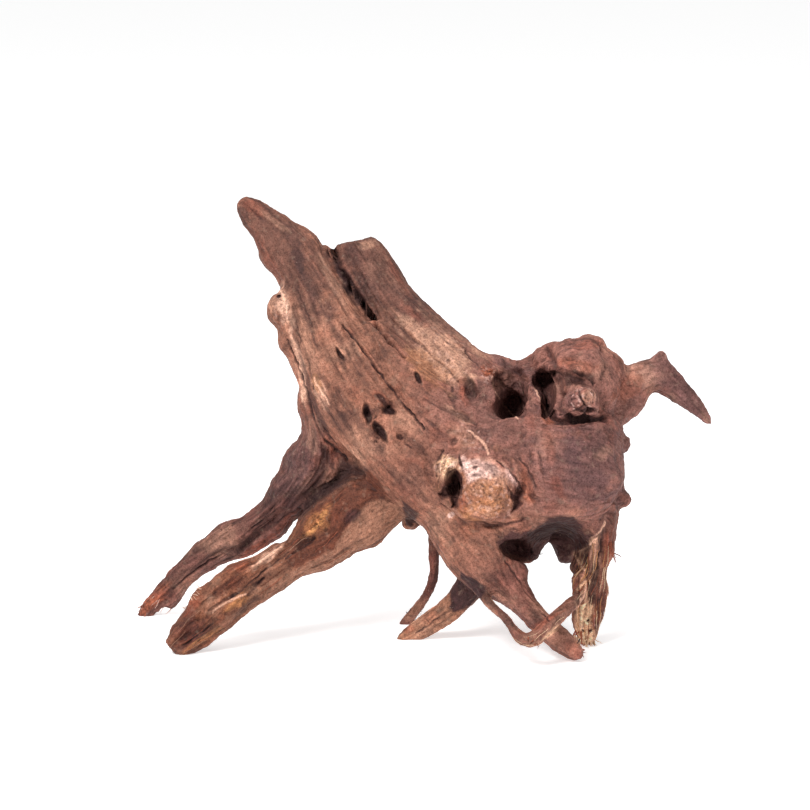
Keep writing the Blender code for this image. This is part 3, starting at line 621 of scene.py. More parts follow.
# Loose fibres: limb, x, y, spread across in pixels, heading in degrees, how many, length and
# half width in mm, how far the headings spread, and tone
TUFTS = {
    "hanging_hairs": ("hanging_rootlet", 411, 613, 5, -35, 7, 8.0, 0.22, 40, "black_shade_and_hair"),
    "right_tip_fibres": ("right_root", 586, 640, 10, -92, 40, 7.0, 0.30, 22, "fibre_cream"),
    "right_tip_red_fibres": ("right_root", 579, 632, 4, -95, 12, 8.0, 0.32, 10, "rust"),
    "right_spur": ("right_root", 609, 546, 2.0, -88, 14, 9.0, 0.42, 4, "rust"),
    "right_side_fibres": ("right_root", 604, 590, 3, -80, 10, 6.0, 0.22, 25, "golden_root"),
    "rear_tip_fibres": ("left_rear_root", 145, 612, 8, -140, 18, 5.0, 0.35, 25, "orange"),
    "rear_low_fibres": ("left_rear_root", 163, 604, 12, -130, 14, 5.0, 0.25, 30, "pink_pale"),
    "flake_fibres": ("left_front_root", 195, 600, 14, 150, 16, 5.0, 0.30, 25, "pale_torn"),
    # Fibres hanging in the arch, coloured with painted shade
    "curtain_fringe": ("root_crown", 566, 552, 13, -90, 24, 3.5, 0.35, 14, "painted_shade_brown"),
    "arch_spur": ("root_crown", 529, 552, 2, 8, 6, 7.0, 0.45, 6, "painted_shade_brown"),
    "bend_fibres": ("crossing_rootlet", 533, 642, 6, -110, 14, 3.5, 0.28, 40, "rust"),
    "front_tip_fibres": ("front_root", 583, 650, 6, -20, 8, 3.5, 0.45, 25, "rust"),
    "front_tip_spike": ("front_root", 577, 641, 3, 60, 6, 5.0, 0.40, 20, "smoke"),
}

# Fibres that lie along the grain: limb, how many, steps, half width and lift in mm, and tones
LYING_FIBRES = {
    "right_root_fibres": ("right_root", 90, 16, 0.20, 0.35, ("fibre_cream", "gold", "rust")),
    "left_front_fibres": ("left_front_root", 50, 18, 0.18, 0.20, ("sapwood", "rust", "red_amber")),
    "left_rear_fibres": ("left_rear_root", 30, 18, 0.17, 0.20, ("rear_root_brown", "smoke")),
    "crossing_fibres": ("crossing_rootlet", 20, 12, 0.16, 0.2, ("fibre_cream", "rust")),
}

# How far marks stray from their place in pixels, by broad and by fine noise
RAGGEDNESS = {"warped": (1.3, 0.0), "crisp": (0.8, 0.6), "wander": (0.0, 0.7)}

# The grain's ridges from coarse to fine: width, length and step in mm, and seed of the noise
GRAIN_RUNS = ((6.0, 22, 2.6, 1), (2.4, 11, 1.2, 2), (1.1, 7, 0.6, 3))
VEIN_RISE = 0.35

# How the shade in the hollows is felt out: rays, their reach and their start off the wood in mm
RAYS = 40
RAY_REACH = 45.0
RAY_START = 0.4
SHALLOWEST_RAY = 0.15

# How the grain is worked out: how fast a limb's share falls off, the way it starts from, and
# how far and how strongly a knot bends it
SHARE_FALLOFF = 5
FIRST_GRAIN = (0.6, 0.1, -0.79)
KNOT_REACH = 1.15
KNOT_PULL = 0.9

# Loose fibres: joints, how deep the root end sits in mm (along the fibre and back), how many
# places near it are picked from, and how much it leans and wavers
TUFT_JOINTS = 8
TUFT_ROOTED = 1.5
TUFT_SUNK = 0.6
TUFT_PLACES = 14
TUFT_LEAN = 0.35
TUFT_WAVER = 0.14

# The crown's four pieces from left to right, and where they are cut, as x in the picture
CROWN_PIECES = ("root_crown_crook", "root_crown_trunk", "root_crown_boss", "root_crown_burl")
CROWN_CUTS = (377, 459, 531)


def as_linear(tone):
    """A tone from the table as linear red, green and blue from 0 to 1."""
    shown = np.array(TONES[tone]) / 255
    return np.where(shown <= 0.04045, shown / 12.92, ((shown + 0.055) / 1.055) ** 2.4)


def eased(low, high, values):
    """0 below low, 1 above high, and a smooth rise between them."""
    share = np.clip((values - low) / (high - low), 0, 1)
    return share * share * (3 - 2 * share)


# Noise

LATTICE_SIDE = 64
LATTICE = np.random.default_rng(11).uniform(-1, 1, (LATTICE_SIDE,) * 3).astype(np.float32)
TILTED_AXES = np.linalg.qr(np.random.default_rng(5).normal(size=(3, 3)))[0].astype(np.float32)


def noise(points, size, seed=0):
    """Smooth noise of about -1 to 1 with features of this size in mm."""
    spread = (points.astype(np.float32) @ TILTED_AXES) / np.float32(size)
    spread += np.array((seed * 7.31, seed * 3.77, seed * 5.13), np.float32)
    cell = np.floor(spread).astype(np.int32)
    part = spread - cell
    part = part * part * (3 - 2 * part)
    low = cell & (LATTICE_SIDE - 1)
    high = (cell + 1) & (LATTICE_SIDE - 1)
    total = 0
    for corner in range(8):
        picks = [(corner >> axis) & 1 for axis in range(3)]
        index = [(high if pick else low)[:, axis] for axis, pick in enumerate(picks)]
        share = 1
        for axis, pick in enumerate(picks):
            share = share * (part[:, axis] if pick else 1 - part[:, axis])
        total = total + share * LATTICE[index[0], index[1], index[2]]
    return total * 1.6


def layered(points, size, layers=3, seed=0):
    """Noise with finer and fainter layers on top."""
    total, strength, whole = 0, 1.0, 0.0
    for layer in range(layers):
        total = total + strength * noise(points, size / 2**layer, seed + layer * 9)
        whole += strength
        strength *= 0.55
    return total / whole


def folded(points, size, layers=2, seed=0):
    """Noise with sharp creases, from 0 in a crease to 1."""
    total, strength, whole = 0, 1.0, 0.0
    for layer in range(layers):
        total = total + strength * np.abs(noise(points, size / 2**layer, seed + layer * 9))
        whole += strength
        strength *= 0.5
    return np.clip(total / whole * 1.6, 0, 1)


def along_grain(points, grain, size, length, step, seed=0):
    """Noise drawn out along the grain into streaks, about -1 to 1."""
    total = 0
    for run in np.arange(-length, length + step / 2, step):
        strength = math.cos(run / length * math.pi / 2 * 0.95)
        total = total + strength * noise(points + grain * run, size, seed)
    return np.clip(total / (2.2 * total.std()), -1, 1)


# The wood as one mesh


def summed(index, values, count):
    """The sum of the rows that share an index."""
    columns = values.reshape(len(values), -1).T
    return np.stack([np.bincount(index, column, count) for column in columns], axis=1)


class Wood:
    """The fused wood: places in mm, quads, and what is worked out from them."""

    def __init__(self, places, quads):
        self.places = places
        self.quads = quads
        count = len(places)
        ends = np.stack([quads, np.roll(quads, -1, axis=1)], axis=2).astype(np.int64)
        ends.sort(axis=2)
        keys, edges = np.unique((ends[..., 0] * count + ends[..., 1]).ravel(), return_inverse=True)
        self.edges = edges.reshape(-1, 4)
        self.pairs = np.stack([keys // count, keys % count], axis=1)
        self.links = np.bincount(self.pairs.ravel(), minlength=count).astype(float)

    def averaged(self, values):
        """Each vertex's mean over its neighbours."""
        one, other = self.pairs.T
        columns = values.reshape(len(values), -1)
        total = summed(one, columns[other], len(values)) + summed(other, columns[one], len(values))
        return (total / self.links[:, None]).reshape(values.shape)

    def soothed(self, values, rounds):
        """Values evened out between neighbours."""
        for _ in range(rounds):
            values = 0.5 * (values + self.averaged(values))
        return values

    def normals(self):
        """The way that the wood faces at each vertex."""
        corners = self.places[self.quads]
        across = np.cross(corners[:, 2] - corners[:, 0], corners[:, 3] - corners[:, 1])
        found = summed(self.quads.ravel(), np.repeat(across, 4, axis=0), len(self.places))
        return found / np.maximum(np.linalg.norm(found, axis=1, keepdims=True), 1e-12)

    def carried(self, values):
        """Values on the vertices of the finer wood."""
        return np.concatenate([values, values[self.pairs].mean(axis=1),
                               values[self.quads].mean(axis=1)])

    def finer(self):
        """The wood with each quad cut in four and rounded, as Catmull and Clark do."""
        quads, count = self.quads, len(self.places)
        middles = np.repeat(self.places[quads].mean(axis=1), 4, axis=0)
        edges = self.edges.ravel()
        beside = summed(edges, middles, len(self.pairs)) / np.bincount(edges)[:, None]
        edge_places = self.places[self.pairs].mean(axis=1) / 2 + beside / 2
        faces = np.bincount(quads.ravel(), minlength=count)[:, None]
        around = summed(quads.ravel(), middles, count) / faces
        ring = self.averaged(self.places)
        corners = (around + ring + (faces - 2) * self.places) / faces
        first = count + self.edges
        centre = count + len(self.pairs) + np.arange(len(quads))
        parts = [np.stack([quads[:, k], first[:, k], centre, first[:, k - 1]], axis=1)
                 for k in range(4)]
        places = np.concatenate([corners, edge_places, middles[::4]])
        return Wood(places, np.stack(parts, axis=1).reshape(-1, 4))


def place_on_wood(right, up, back):
    """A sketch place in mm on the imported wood."""
    spread = 1 + back / EYE_DISTANCE
    return SKETCH_ORIGIN + (RIGHTWARD * right + UPWARD * up) * spread + BACKWARD * back


def on_photo(places):
    """Where places show on the photo in pixels, and how far back they are in mm."""
    offset = places - SKETCH_ORIGIN
    back = offset @ BACKWARD
    spread = (1 + back / EYE_DISTANCE) * PIXEL
    return np.stack([PHOTO_MIDDLE + offset @ RIGHTWARD / spread,
                     PHOTO_MIDDLE - offset @ UPWARD / spread, back], axis=1)


def fused_blank():
    """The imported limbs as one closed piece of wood, softened."""
    shape = bmesh.new()
    spare = bpy.data.meshes.new("limb")
    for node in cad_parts.values():
        limb = bmesh.new()
        limb.from_mesh(node.data)
        bmesh.ops.remove_doubles(limb, verts=limb.verts, dist=0.00001)
        limb.normal_update()
        for vert in limb.verts:
            vert.co = vert.co + vert.normal * KERF_COVER * MM
        limb.to_mesh(spare)
        limb.free()
        shape.from_mesh(spare)
    for one, other, half in WEBS.values():
        one, other = (Vector(place_on_wood(*end)) * MM for end in (one, other))
        run = other - one
        size = Vector((half * MM * 0.6, half * MM, run.length / 2))
        matrix = Matrix.LocRotScale((one + other) / 2, run.to_track_quat("Z", "Y"), size)
        bmesh.ops.create_icosphere(shape, subdivisions=3, radius=1, matrix=matrix)
    shape.to_mesh(spare)
    shape.free()
    blank = linked("blank", spare)
    step = blank.modifiers.new("fuse", "REMESH")
    step.mode = "VOXEL"
    step.voxel_size = BLANK_VOXEL * MM
    graph = bpy.context.evaluated_depsgraph_get()
    mesh = bpy.data.meshes.new_from_object(blank.evaluated_get(graph))
    places = np.empty(len(mesh.vertices) * 3, np.float32)
    mesh.vertices.foreach_get("co", places)
    quads = np.empty(len(mesh.loops), np.int32)
    mesh.loops.foreach_get("vertex_index", quads)
    wood = Wood(places.reshape(-1, 3).astype(float) / MM, quads.reshape(-1, 4))
    bpy.data.objects.remove(blank)
    bpy.data.meshes.remove(spare)
    bpy.data.meshes.remove(mesh)
    for _ in range(SOFTEN_ROUNDS):
        wood.places += SOFTEN_IN * (wood.averaged(wood.places) - wood.places)
        wood.places -= SOFTEN_OUT * (wood.averaged(wood.places) - wood.places)
    wood.places -= wood.soothed(wood.normals(), 2) * KERF_SHRINK
    seen = on_photo(wood.places)
    filled = np.zeros((len(seen), 1))
    for x, y, radius, depth in FILLED.values():
        reach = np.hypot(seen[:, 0] - x, seen[:, 1] - y)
        filled[(reach < radius) & (seen[:, 2] < depth)] = 0.8
    for _ in range(FILL_ROUNDS):
        wood.places += filled * (wood.averaged(wood.places) - wood.places)
    return wood


def pull_outline(wood, owners):
    """Pulls the wood sideways where the photo's outline asks for it, all of it or one limb."""
    seen = on_photo(wood.places)
    pulls = [(1.0, pull) for pull in PULLS.values()]
    for limb, *pull in LIMB_PULLS.values():
        own = (owners == sorted(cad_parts).index(limb)).astype(float)
        pulls.append((wood.soothed(own, 4), pull))
    for own, (x, y, radius, rightward, down) in pulls:
        share = np.exp(-((seen[:, 0] - x) ** 2 + (seen[:, 1] - y) ** 2) / radius**2) * own
        move = (RIGHTWARD * rightward - UPWARD * down) * PIXEL
        wood.places += move * share[:, None]


def ellipse(seen, x, y, long, short, turn):
    """How far out each place is from an ellipse's middle: 1 on its edge."""
    angle = math.radians(turn)
    right, down = seen[:, 0] - x, seen[:, 1] - y
    along = right * math.cos(angle) - down * math.sin(angle)
    across = right * math.sin(angle) + down * math.cos(angle)
    return np.sqrt((along / long) ** 2 + (across / short) ** 2)


def spot(seen, place, full, end, ragged=0.0):
    """A soft spot on the photo: 1 out to full and 0 beyond end, as shares of its ellipse."""
    return 1 - eased(full, end, ellipse(seen, *place) + ragged)


def depth_inside(seen, corners):
    """How deep inside an outline each place is in pixels, below 0 outside."""
    corners = np.array(corners, float)
    low, high = corners.min(axis=0) - 8, corners.max(axis=0) + 8
    near = np.flatnonzero(((seen[:, :2] > low) & (seen[:, :2] < high)).all(axis=1))
    x, y = seen[near, 0], seen[near, 1]
    gap = np.full(len(near), 1e6)
    inside = np.zeros(len(near), bool)
    for (x0, y0), (x1, y1) in zip(corners, np.roll(corners, -1, axis=0)):
        run_x, run_y = x1 - x0, y1 - y0
        share = ((x - x0) * run_x + (y - y0) * run_y) / (run_x**2 + run_y**2)
        share = np.clip(share, 0, 1)
        gap = np.minimum(gap, np.hypot(x - x0 - share * run_x, y - y0 - share * run_y))
        if run_y:
            inside ^= ((y0 > y) != (y1 > y)) & (x < x0 + run_x * (y - y0) / run_y)
    depth = np.full(len(seen), -1e3)
    depth[near] = np.where(inside, gap, -gap)
    return depth


def line_gap(seen, points):
    """How far each place is from a line, as a share of the line's half width there."""
    best = np.full(len(seen), 1e6)
    for (x0, y0, w0), (x1, y1, w1) in zip(points, points[1:]):
        run_x, run_y = x1 - x0, y1 - y0
        share = (seen[:, 0] - x0) * run_x + (seen[:, 1] - y0) * run_y
        share = np.clip(share / (run_x**2 + run_y**2), 0, 1)
        gap = np.hypot(seen[:, 0] - x0 - share * run_x, seen[:, 1] - y0 - share * run_y)
        best = np.minimum(best, gap / np.maximum(w0 + share * (w1 - w0), THINNEST_CRACK))
    return best


def run_points(stations, gap=2.5):
    """Evenly spaced places along a limb's run, and its heading at each."""
    ends = np.array([place_on_wood(*station) for station in stations])
    marks = np.concatenate([[0], np.cumsum(np.linalg.norm(np.diff(ends, axis=0), axis=1))])
    at = np.linspace(0, marks[-1], max(int(marks[-1] / gap), 2))
    points = np.stack([np.interp(at, marks, ends[:, axis]) for axis in range(3)], axis=1)
    for _ in range(3):
        points[1:-1] = (points[:-2] + 2 * points[1:-1] + points[2:]) / 4
    headings = np.gradient(points, axis=0)
    return points, headings / np.linalg.norm(headings, axis=1, keepdims=True)


def limb_shares(places):
    """How much each place belongs to each limb, and the grain's direction there."""
    shares = np.empty((len(places), len(LIMBS)))
    tensor = np.zeros((len(places), 3, 3))
    for column, limb in enumerate(LIMBS.values()):
        points, headings = run_points(limb["run"])
        best = np.full(len(places), np.inf)
        nearest = np.zeros(len(places), int)
        for index, point in enumerate(points):
            gap = ((places - point) ** 2).sum(axis=1)
            closer = gap < best
            best[closer] = gap[closer]
            nearest[closer] = index
        share = (limb["reach"] / np.sqrt(best + 1)) ** SHARE_FALLOFF
        shares[:, column] = share
        heading = headings[nearest]
        tensor += share[:, None, None] * heading[:, :, None] * heading[:, None, :]
    shares /= shares.sum(axis=1, keepdims=True)
    grain = np.tile(FIRST_GRAIN, (len(places), 1))
    for _ in range(6):
        grain = np.einsum("nij,nj->ni", tensor, grain)
        grain /= np.linalg.norm(grain, axis=1, keepdims=True)
    return shares, grain


def bent_round_knots(grain, seen, normals):
    """The grain turned to run round each knot and laid on the surface."""
    grain = grain.copy()
    for x, y, radius in KNOTS.values():
        right, up = seen[:, 0] - x, y - seen[:, 1]
        gap = np.hypot(right, up)
        pull = np.exp(-((gap / (radius * KNOT_REACH)) ** 4))[:, None] * KNOT_PULL
        ring = -up[:, None] * RIGHTWARD + right[:, None] * UPWARD
        ring /= np.maximum(gap, 1.0)[:, None]
        same = np.sign((ring * grain).sum(axis=1, keepdims=True))
        grain = grain * (1 - pull) + ring * same * pull
    grain -= normals * (grain * normals).sum(axis=1, keepdims=True)
    return grain / np.maximum(np.linalg.norm(grain, axis=1, keepdims=True), 1e-6)


def limb_values(shares, name):
    """A setting of the limbs at each place, by how much it belongs to each limb."""
    return shares @ np.array([limb[name] for limb in LIMBS.values()])


def ragged_places(places, seen):
    """Where places show on the photo, shifted by noise, so that marks get ragged edges."""
    broad = np.stack([noise(places, 5, seed) for seed in (41, 42)], axis=1)
    fine = np.stack([noise(places, 2.5, seed) for seed in (43, 44)], axis=1)
    found = {}
    for name, (broad_share, fine_share) in RAGGEDNESS.items():
        found[name] = seen.copy()
        found[name][:, :2] += broad * broad_share + fine * fine_share
    return found


def hollowed(masks):
    """How far out the front is pressed in mm, below 0 where it is hollowed."""
    push = np.zeros(len(masks["seen"]))
    for *place, out in PRESSES.values():
        push += out * spot(masks["warped"], place, 0.2, 1.25)
    for *place, _, deep in PITS.values():
        push -= deep * spot(masks["warped"], place, 0.3, 1.2)
    for name, (deep, wall) in CARVINGS.items():
        push -= deep * eased(-0.5, wall, depth_inside(masks["crisp"], OUTLINES[name]))
    return push * masks["front"]


def relief(points, masks):
    """How far the grain, the lumps and the rough places lift the wood in mm."""
    shares, front = masks["shares"], masks["front"]
    coarse, medium, fine = (along_grain(points, masks["grain"], *run) for run in GRAIN_RUNS)
    bare = eased(-2, 3, depth_inside(masks["crisp"], OUTLINES["sapwood_patch"])) * front
    rough = np.zeros(len(points))
    for *place, strength in ROUGH_PLACES.values():
        rough = np.maximum(rough, strength * spot(masks["warped"], place, 0.6, 1.25) * front)
    calm = 1 - 0.5 * rough
    pocks = 0.5 * eased(0.35, 0.8, noise(points, 1.7, 61))
    pocks += 1 - eased(0.04, 0.20, folded(points, 5.5, 2, 64))
    checks = eased(0.50, 0.9, -medium) * eased(-0.3, 0.5, noise(points, 16, 9))
    ridges = 0.95 * coarse + 0.60 * medium + 0.32 * fine
    lumps = 0.9 * layered(points, 11, 3, 4) + 0.7 * (folded(points, 8, 2, 5) - 0.5)
    crust = 1.3 * layered(points, 4.5, 4, 6) + 0.3 * noise(points, 1.1, 63) - 0.40 * pocks
    lift = limb_values(shares, "ridge") * (1 - 0.7 * bare) * calm * ridges
    lift += limb_values(shares, "lumps") * lumps + rough * crust - 0.32 * checks * calm
    lift += 0.16 * layered(points, 2.6, 3, 51) + 0.10 * noise(points, 1.2, 52)
    masks.update(medium=medium, fine=fine, bare=bare, rough=rough, pocks=pocks, checks=checks)
    return lift


def cut_lines(points, masks):
    """How far the cracks, creases and veins lift the wood in mm."""
    front, wander = masks["front"], masks["wander"]
    lift, crack, crease, vein = np.zeros((4, len(points)))
    broken = 0.35 + 0.65 * eased(-0.6, 0.25, noise(points, 5, 91))
    for line, deep in CRACKS.values():
        gap = line_gap(wander, line)
        width = max(point[2] for point in line)
        crack = np.maximum(crack, min(1, width) * broken * (1 - eased(0.6, 1.9, gap)))
        lift -= deep * np.exp(-((gap / 1.3) ** 2)) * broken
    deepest = max(deep for _, deep in CREASES.values())
    for line, deep in CREASES.values():
        gap = line_gap(masks["warped"], line)
        crease = np.maximum(crease, deep / deepest * (1 - eased(0.2, 1.9, gap)))
        lift -= deep * np.exp(-((gap / 1.2) ** 2))
    for line in VEINS.values():
        vein = np.maximum(vein, 1 - eased(0.4, 1.7, line_gap(wander, line)))
    masks.update(crack=crack * front, crease=crease * front, vein=vein * front)
    return (lift + VEIN_RISE * vein) * front


def kept_in_box(places):
    """Places in mm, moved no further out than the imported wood's box."""
    low, high = (np.array(corner) / MM for corner in solid_box)
    return np.clip(places, low + BOX_MARGIN, high - BOX_MARGIN)


def worked(wood, shares, grain):
    """Works hollows, relief and cracks into the wood, and gives the masks for its stain."""
    normals = wood.normals()
    seen = on_photo(wood.places)
    facing = -(wood.soothed(normals, 2) @ BACKWARD)
    masks = {"seen": seen, "shares": shares, "facing": facing, "front": eased(0.0, 0.35, facing),
             "grain": bent_round_knots(grain, seen, wood.soothed(normals, 4)),
             **ragged_places(wood.places, seen)}
    wood.places -= BACKWARD * hollowed(masks)[:, None]
    lift = relief(wood.places, masks) + cut_lines(wood.places, masks)
    wood.places = kept_in_box(wood.places + wood.soothed(normals, 2) * lift[:, None])
    return masks


# Tones


def mixed(tones, tone, strength):
    """Tones with one of the table's tones laid on, as strong as each place asks for."""
    return tones * (1 - strength[:, None]) + as_linear(tone) * strength[:, None]


def packed_solids():
    """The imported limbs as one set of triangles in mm, with each one's limb."""
    corners, triangles, owners = [], [], []
    names = sorted(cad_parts)
    base = 0
    for owner, name in enumerate(names):
        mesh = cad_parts[name].data
        mesh.calc_loop_triangles()
        found = np.array([tri.vertices for tri in mesh.loop_triangles])
        corners.append(np.array([vert.co for vert in mesh.vertices]) / MM)
        triangles.append(found + base)
        owners.append(np.full(len(found), owner))
        base += len(mesh.vertices)
    corners, triangles = np.concatenate(corners), np.concatenate(triangles)
    tree = BVHTree.FromPolygons(corners.tolist(), triangles.tolist())
    return {"names": names, "corners": corners, "triangles": triangles,
            "owners": np.concatenate(owners), "tree": tree}


def shut_in(solids):
    """How shut in each triangle is, from 0 in the open to 1 deep in a hollow."""
    directions = np.random.default_rng(3).normal(size=(RAYS, 3))
    directions /= np.linalg.norm(directions, axis=1, keepdims=True)
    corners = solids["corners"][solids["triangles"]]
    middles = corners.mean(axis=1)
    sides = np.cross(corners[:, 1] - corners[:, 0], corners[:, 2] - corners[:, 0])
    sides /= np.maximum(np.linalg.norm(sides, axis=1, keepdims=True), 1e-9)
    shut = np.zeros(len(middles))
    for index, (middle, side) in enumerate(zip(middles, sides)):
        start = Vector(middle + side * RAY_START)
        facing = directions @ side
        open_share = hit = 0
        for direction, share in zip(directions, facing):
            if share < SHALLOWEST_RAY:
                continue
            open_share += share
            if solids["tree"].ray_cast(start, Vector(direction), RAY_REACH)[0] is not None:
                hit += share
        shut[index] = hit / max(open_share, 1e-6)
    return shut


def stained(wood, masks, shut):
    """The wood's tone at each place, with shade painted into its hollows, pits, cracks and creases.
    """
    points, front = wood.places, masks["front"]
    blotch = layered(points, 6, 4, 27)
    ragged = 0.45 * layered(points, 5, 4, 22) + 0.30 * masks["medium"]
    tones = with_stains(limb_tones(points, masks, blotch), STAINS, masks, ragged)
    tones = patched(tones, LOW_PATCHES, masks, front)
    tones = with_stains(tones, AMBER_STAINS, masks, 1.2 * ragged)
    tones = with_texture(tones, points, masks, blotch)
    tones = shaded(tones, wood, shut)
    # Painted shade in hollows and under the arch, in creases, and in pits, cracks and checks
    tones = patched(tones, SHADE_PATCHES, masks, eased(-0.6, -0.2, masks["facing"]))
    tones = mixed(tones, "painted_shade_brown", 0.45 * masks["crease"])
    tones = mixed(tones, "black_shade_and_hair", crack_and_pit_shade(masks))
    tones *= WARMTH * (STAIN_BASE + STAIN_RISE * tones.mean(axis=1, keepdims=True))
    return np.clip(tones, 0.002, 1)


def limb_tones(points, masks, blotch):
    """Each limb's own tone, with broad pale, dark and rusty clouds."""
    tones = np.zeros((len(points), 3))
    for column, limb in enumerate(LIMBS.values()):
        tones += masks["shares"][:, column, None] * as_linear(limb["tone"])
    broad = layered(points, 22, 3, 21)
    tones = mixed(tones, "sand", 0.40 * eased(0.0, 0.8, broad))
    tones = mixed(tones, "smoke", 0.38 * eased(0.0, 0.8, -broad))
    tones = mixed(tones, "smoke", 0.40 * eased(0.1, 0.9, -blotch))
    return mixed(tones, "rust", 0.26 * eased(0.1, 0.9, layered(points, 8, 3, 31)))


def with_texture(tones, points, masks, blotch):
    """Tones with the grain's streaks, specks, pale veins and the crust's flecks and pocks."""
    rough = masks["rough"]
    calm = 1 - np.maximum(0.6 * rough, 0.7 * masks["bare"])
    streaks = limb_values(masks["shares"], "streaks") * calm
    streak = 0.60 * masks["fine"] + 0.40 * masks["medium"]
    tones = tones * np.exp(0.38 * streaks * streak)[:, None]
    tones = mixed(tones, "smoke", np.clip(0.26 * streaks, 0, 1) * eased(0.1, 0.9, -streak))
    speckle = 1 + 0.16 * noise(points, 0.9, 71) + 0.16 * noise(points, 2.2, 72) + 0.10 * blotch
    tones *= speckle[:, None]
    tones = mixed(tones, "pale_torn", 0.70 * masks["vein"])
    tones = mixed(tones, "white_pink", 0.45 * eased(0.30, 0.8, noise(points, 1.5, 25)) * rough)
    return mixed(tones, "stub_bark", 0.38 * np.clip(masks["pocks"] * rough, 0, 1))


def shaded(tones, wood, shut):
    """Tones with painted shade in hollows and folds, and paler on ridges."""
    bend = ((wood.averaged(wood.places) - wood.places) * wood.normals()).sum(axis=1)
    bend = wood.soothed(bend, 1)
    bend /= 2.5 * bend.std()
    tones = mixed(tones, "black_shade_and_hair", 0.60 * eased(0.05, 1.2, bend))
    tones *= 1 + 0.34 * eased(0.1, 1.2, -bend)[:, None]
    # Painted shade deep in the hollows, by how shut in each place is
    tones = mixed(tones, "painted_shade_brown", 0.45 * eased(0.35, 0.62, shut))
    return mixed(tones, "black_shade_and_hair", 0.15 * eased(0.60, 0.90, shut))


def crack_and_pit_shade(masks):
    """How much painted shade darkens the pits, cracks and checks."""
    dark = np.maximum(0.92 * masks["crack"], 0.32 * masks["checks"])
    for *place, strength, _ in PITS.values():
        pit = strength * spot(masks["warped"], place, 0.6, 1.15) * masks["front"]
        dark = np.maximum(dark, pit)
    return dark


def with_stains(tones, stains, masks, ragged):
    """Tones with soft, ragged stains laid on."""
    for tone, *place, strength in stains:
        stain = strength * spot(masks["seen"], place, 0.5, 1.3, ragged) * masks["front"]
        tones = mixed(tones, tone, stain)
    return tones


def patched(tones, patches, masks, side):
    """Tones with crisp patches laid on by their outlines."""
    for name, (tone, soft, strength) in patches.items():
        depth = depth_inside(masks["crisp"], OUTLINES[name]) + 1.5 * masks["fine"]
        tones = mixed(tones, tone, strength * eased(-soft, soft, depth) * side)
    return tones


# Cutting the wood back into pieces


def piece_labels(wood, solids, nearest):
    """For each quad its piece, as an index into the names that come with it."""
    names = list(solids["names"])
    crown = names.index("root_crown")
    labels = solids["owners"][nearest][wood.quads[:, 0]]
    across = on_photo(wood.places[wood.quads[:, 0]])[:, 0]
    parts = np.digitize(across, CROWN_CUTS)
    rest = len(names) - 1
    names[crown] = CROWN_PIECES[0]
    names += CROWN_PIECES[1:]
    labels = np.where(labels == crown, np.where(parts == 0, crown, rest + parts), labels)
    return labels, names


def whole_patches(wood, labels):
    """Moves stray patches of a label to their neighbours, so that each piece is whole."""
    count = len(wood.quads)
    order = np.argsort(wood.edges.ravel(), kind="stable")
    edge = wood.edges.ravel()[order]
    owner = order // 4
    same = edge[1:] == edge[:-1]
    pairs = np.stack([owner[:-1][same], owner[1:][same]], axis=1)
    for _ in range(6):
        inside = labels[pairs[:, 0]] == labels[pairs[:, 1]]
        one, other = pairs[inside].T
        patch = np.arange(count)
        while True:
            before = patch.copy()
            least = np.minimum(patch[one], patch[other])
            for part in (patch[one], patch[other], one, other):
                np.minimum.at(patch, part, least)
            patch = patch[patch]
            if (patch == before).all():
                break
        sizes = np.bincount(patch, minlength=count)
        largest = {}
        for root in np.unique(patch):
            label = labels[root]
            if label not in largest or sizes[root] > sizes[largest[label]]:
                largest[label] = root
        keep = np.isin(patch, list(largest.values()))
        if keep.all():
            break
        for near, far in ((0, 1), (1, 0)):
            stray = ~inside & ~keep[pairs[:, near]] & keep[pairs[:, far]]
            labels[pairs[stray, near]] = labels[pairs[stray, far]]
    return labels


def cut_rims(quads):
    """The rims of a cut skin, each a list of vertices in order, against the skin's winding."""
    ends = np.stack([quads, np.roll(quads, -1, axis=1)], axis=2).reshape(-1, 2).astype(np.int64)
    count = int(quads.max()) + 1
    forward = ends[:, 0] * count + ends[:, 1]
    backward = ends[:, 1] * count + ends[:, 0]
    following = {}
    for start, end in ends[~np.isin(forward, backward)].tolist():
        following.setdefault(end, []).append(start)
    rims = []
    while following:
        rim, here = [], next(iter(following))
        while here in following:
            rim.append(here)
            onward = following[here]
            here = onward.pop()
            if not onward:
                del following[rim[-1]]
        rims.append(rim)
    return rims


def made_piece(name, wood, quads, masks, tones, normals):
    """One closed piece: its share of the wood's skin, capped where it was cut."""
    used, corners = np.unique(quads, return_inverse=True)
    skin = corners.reshape(-1, 4)
    places = [wood.places[used]]
    shown = [tones[used]]
    caps, total = [], len(used)
    for rim in cut_rims(skin):
        places.append(places[0][rim].mean(axis=0)[None])
        shown.append(as_linear("smoke")[None])
        caps += [(one, other, total) for one, other in zip(rim, rim[1:] + rim[:1])]
        total += 1
    corner_list = np.concatenate([skin.ravel(), np.array(caps, int).ravel()])
    sizes = np.concatenate([np.full(len(skin), 4), np.full(len(caps), 3)])
    mesh = bpy.data.meshes.new(name)
    mesh.vertices.add(total)
    mesh.vertices.foreach_set("co", (np.concatenate(places) * MM).ravel())
    mesh.loops.add(len(corner_list))
    mesh.loops.foreach_set("vertex_index", corner_list)
    mesh.polygons.add(len(sizes))
    mesh.polygons.foreach_set("loop_start", np.concatenate([[0], np.cumsum(sizes)[:-1]]))
    mesh.update(calc_edges=True)
    add_tone(mesh, np.concatenate(shown))
    for label in ("rough", "fine"):
        values = np.zeros(total, np.float32)
        values[: len(used)] = masks[label][used]
        made = mesh.attributes.new(label, "FLOAT", "POINT")
        made.data.foreach_set("value", values)
    corner_normals = np.zeros((len(corner_list), 3))
    corner_normals[: skin.size] = normals[used][skin.ravel()]
    mesh.normals_split_custom_set(corner_normals)
    return linked(name, mesh)


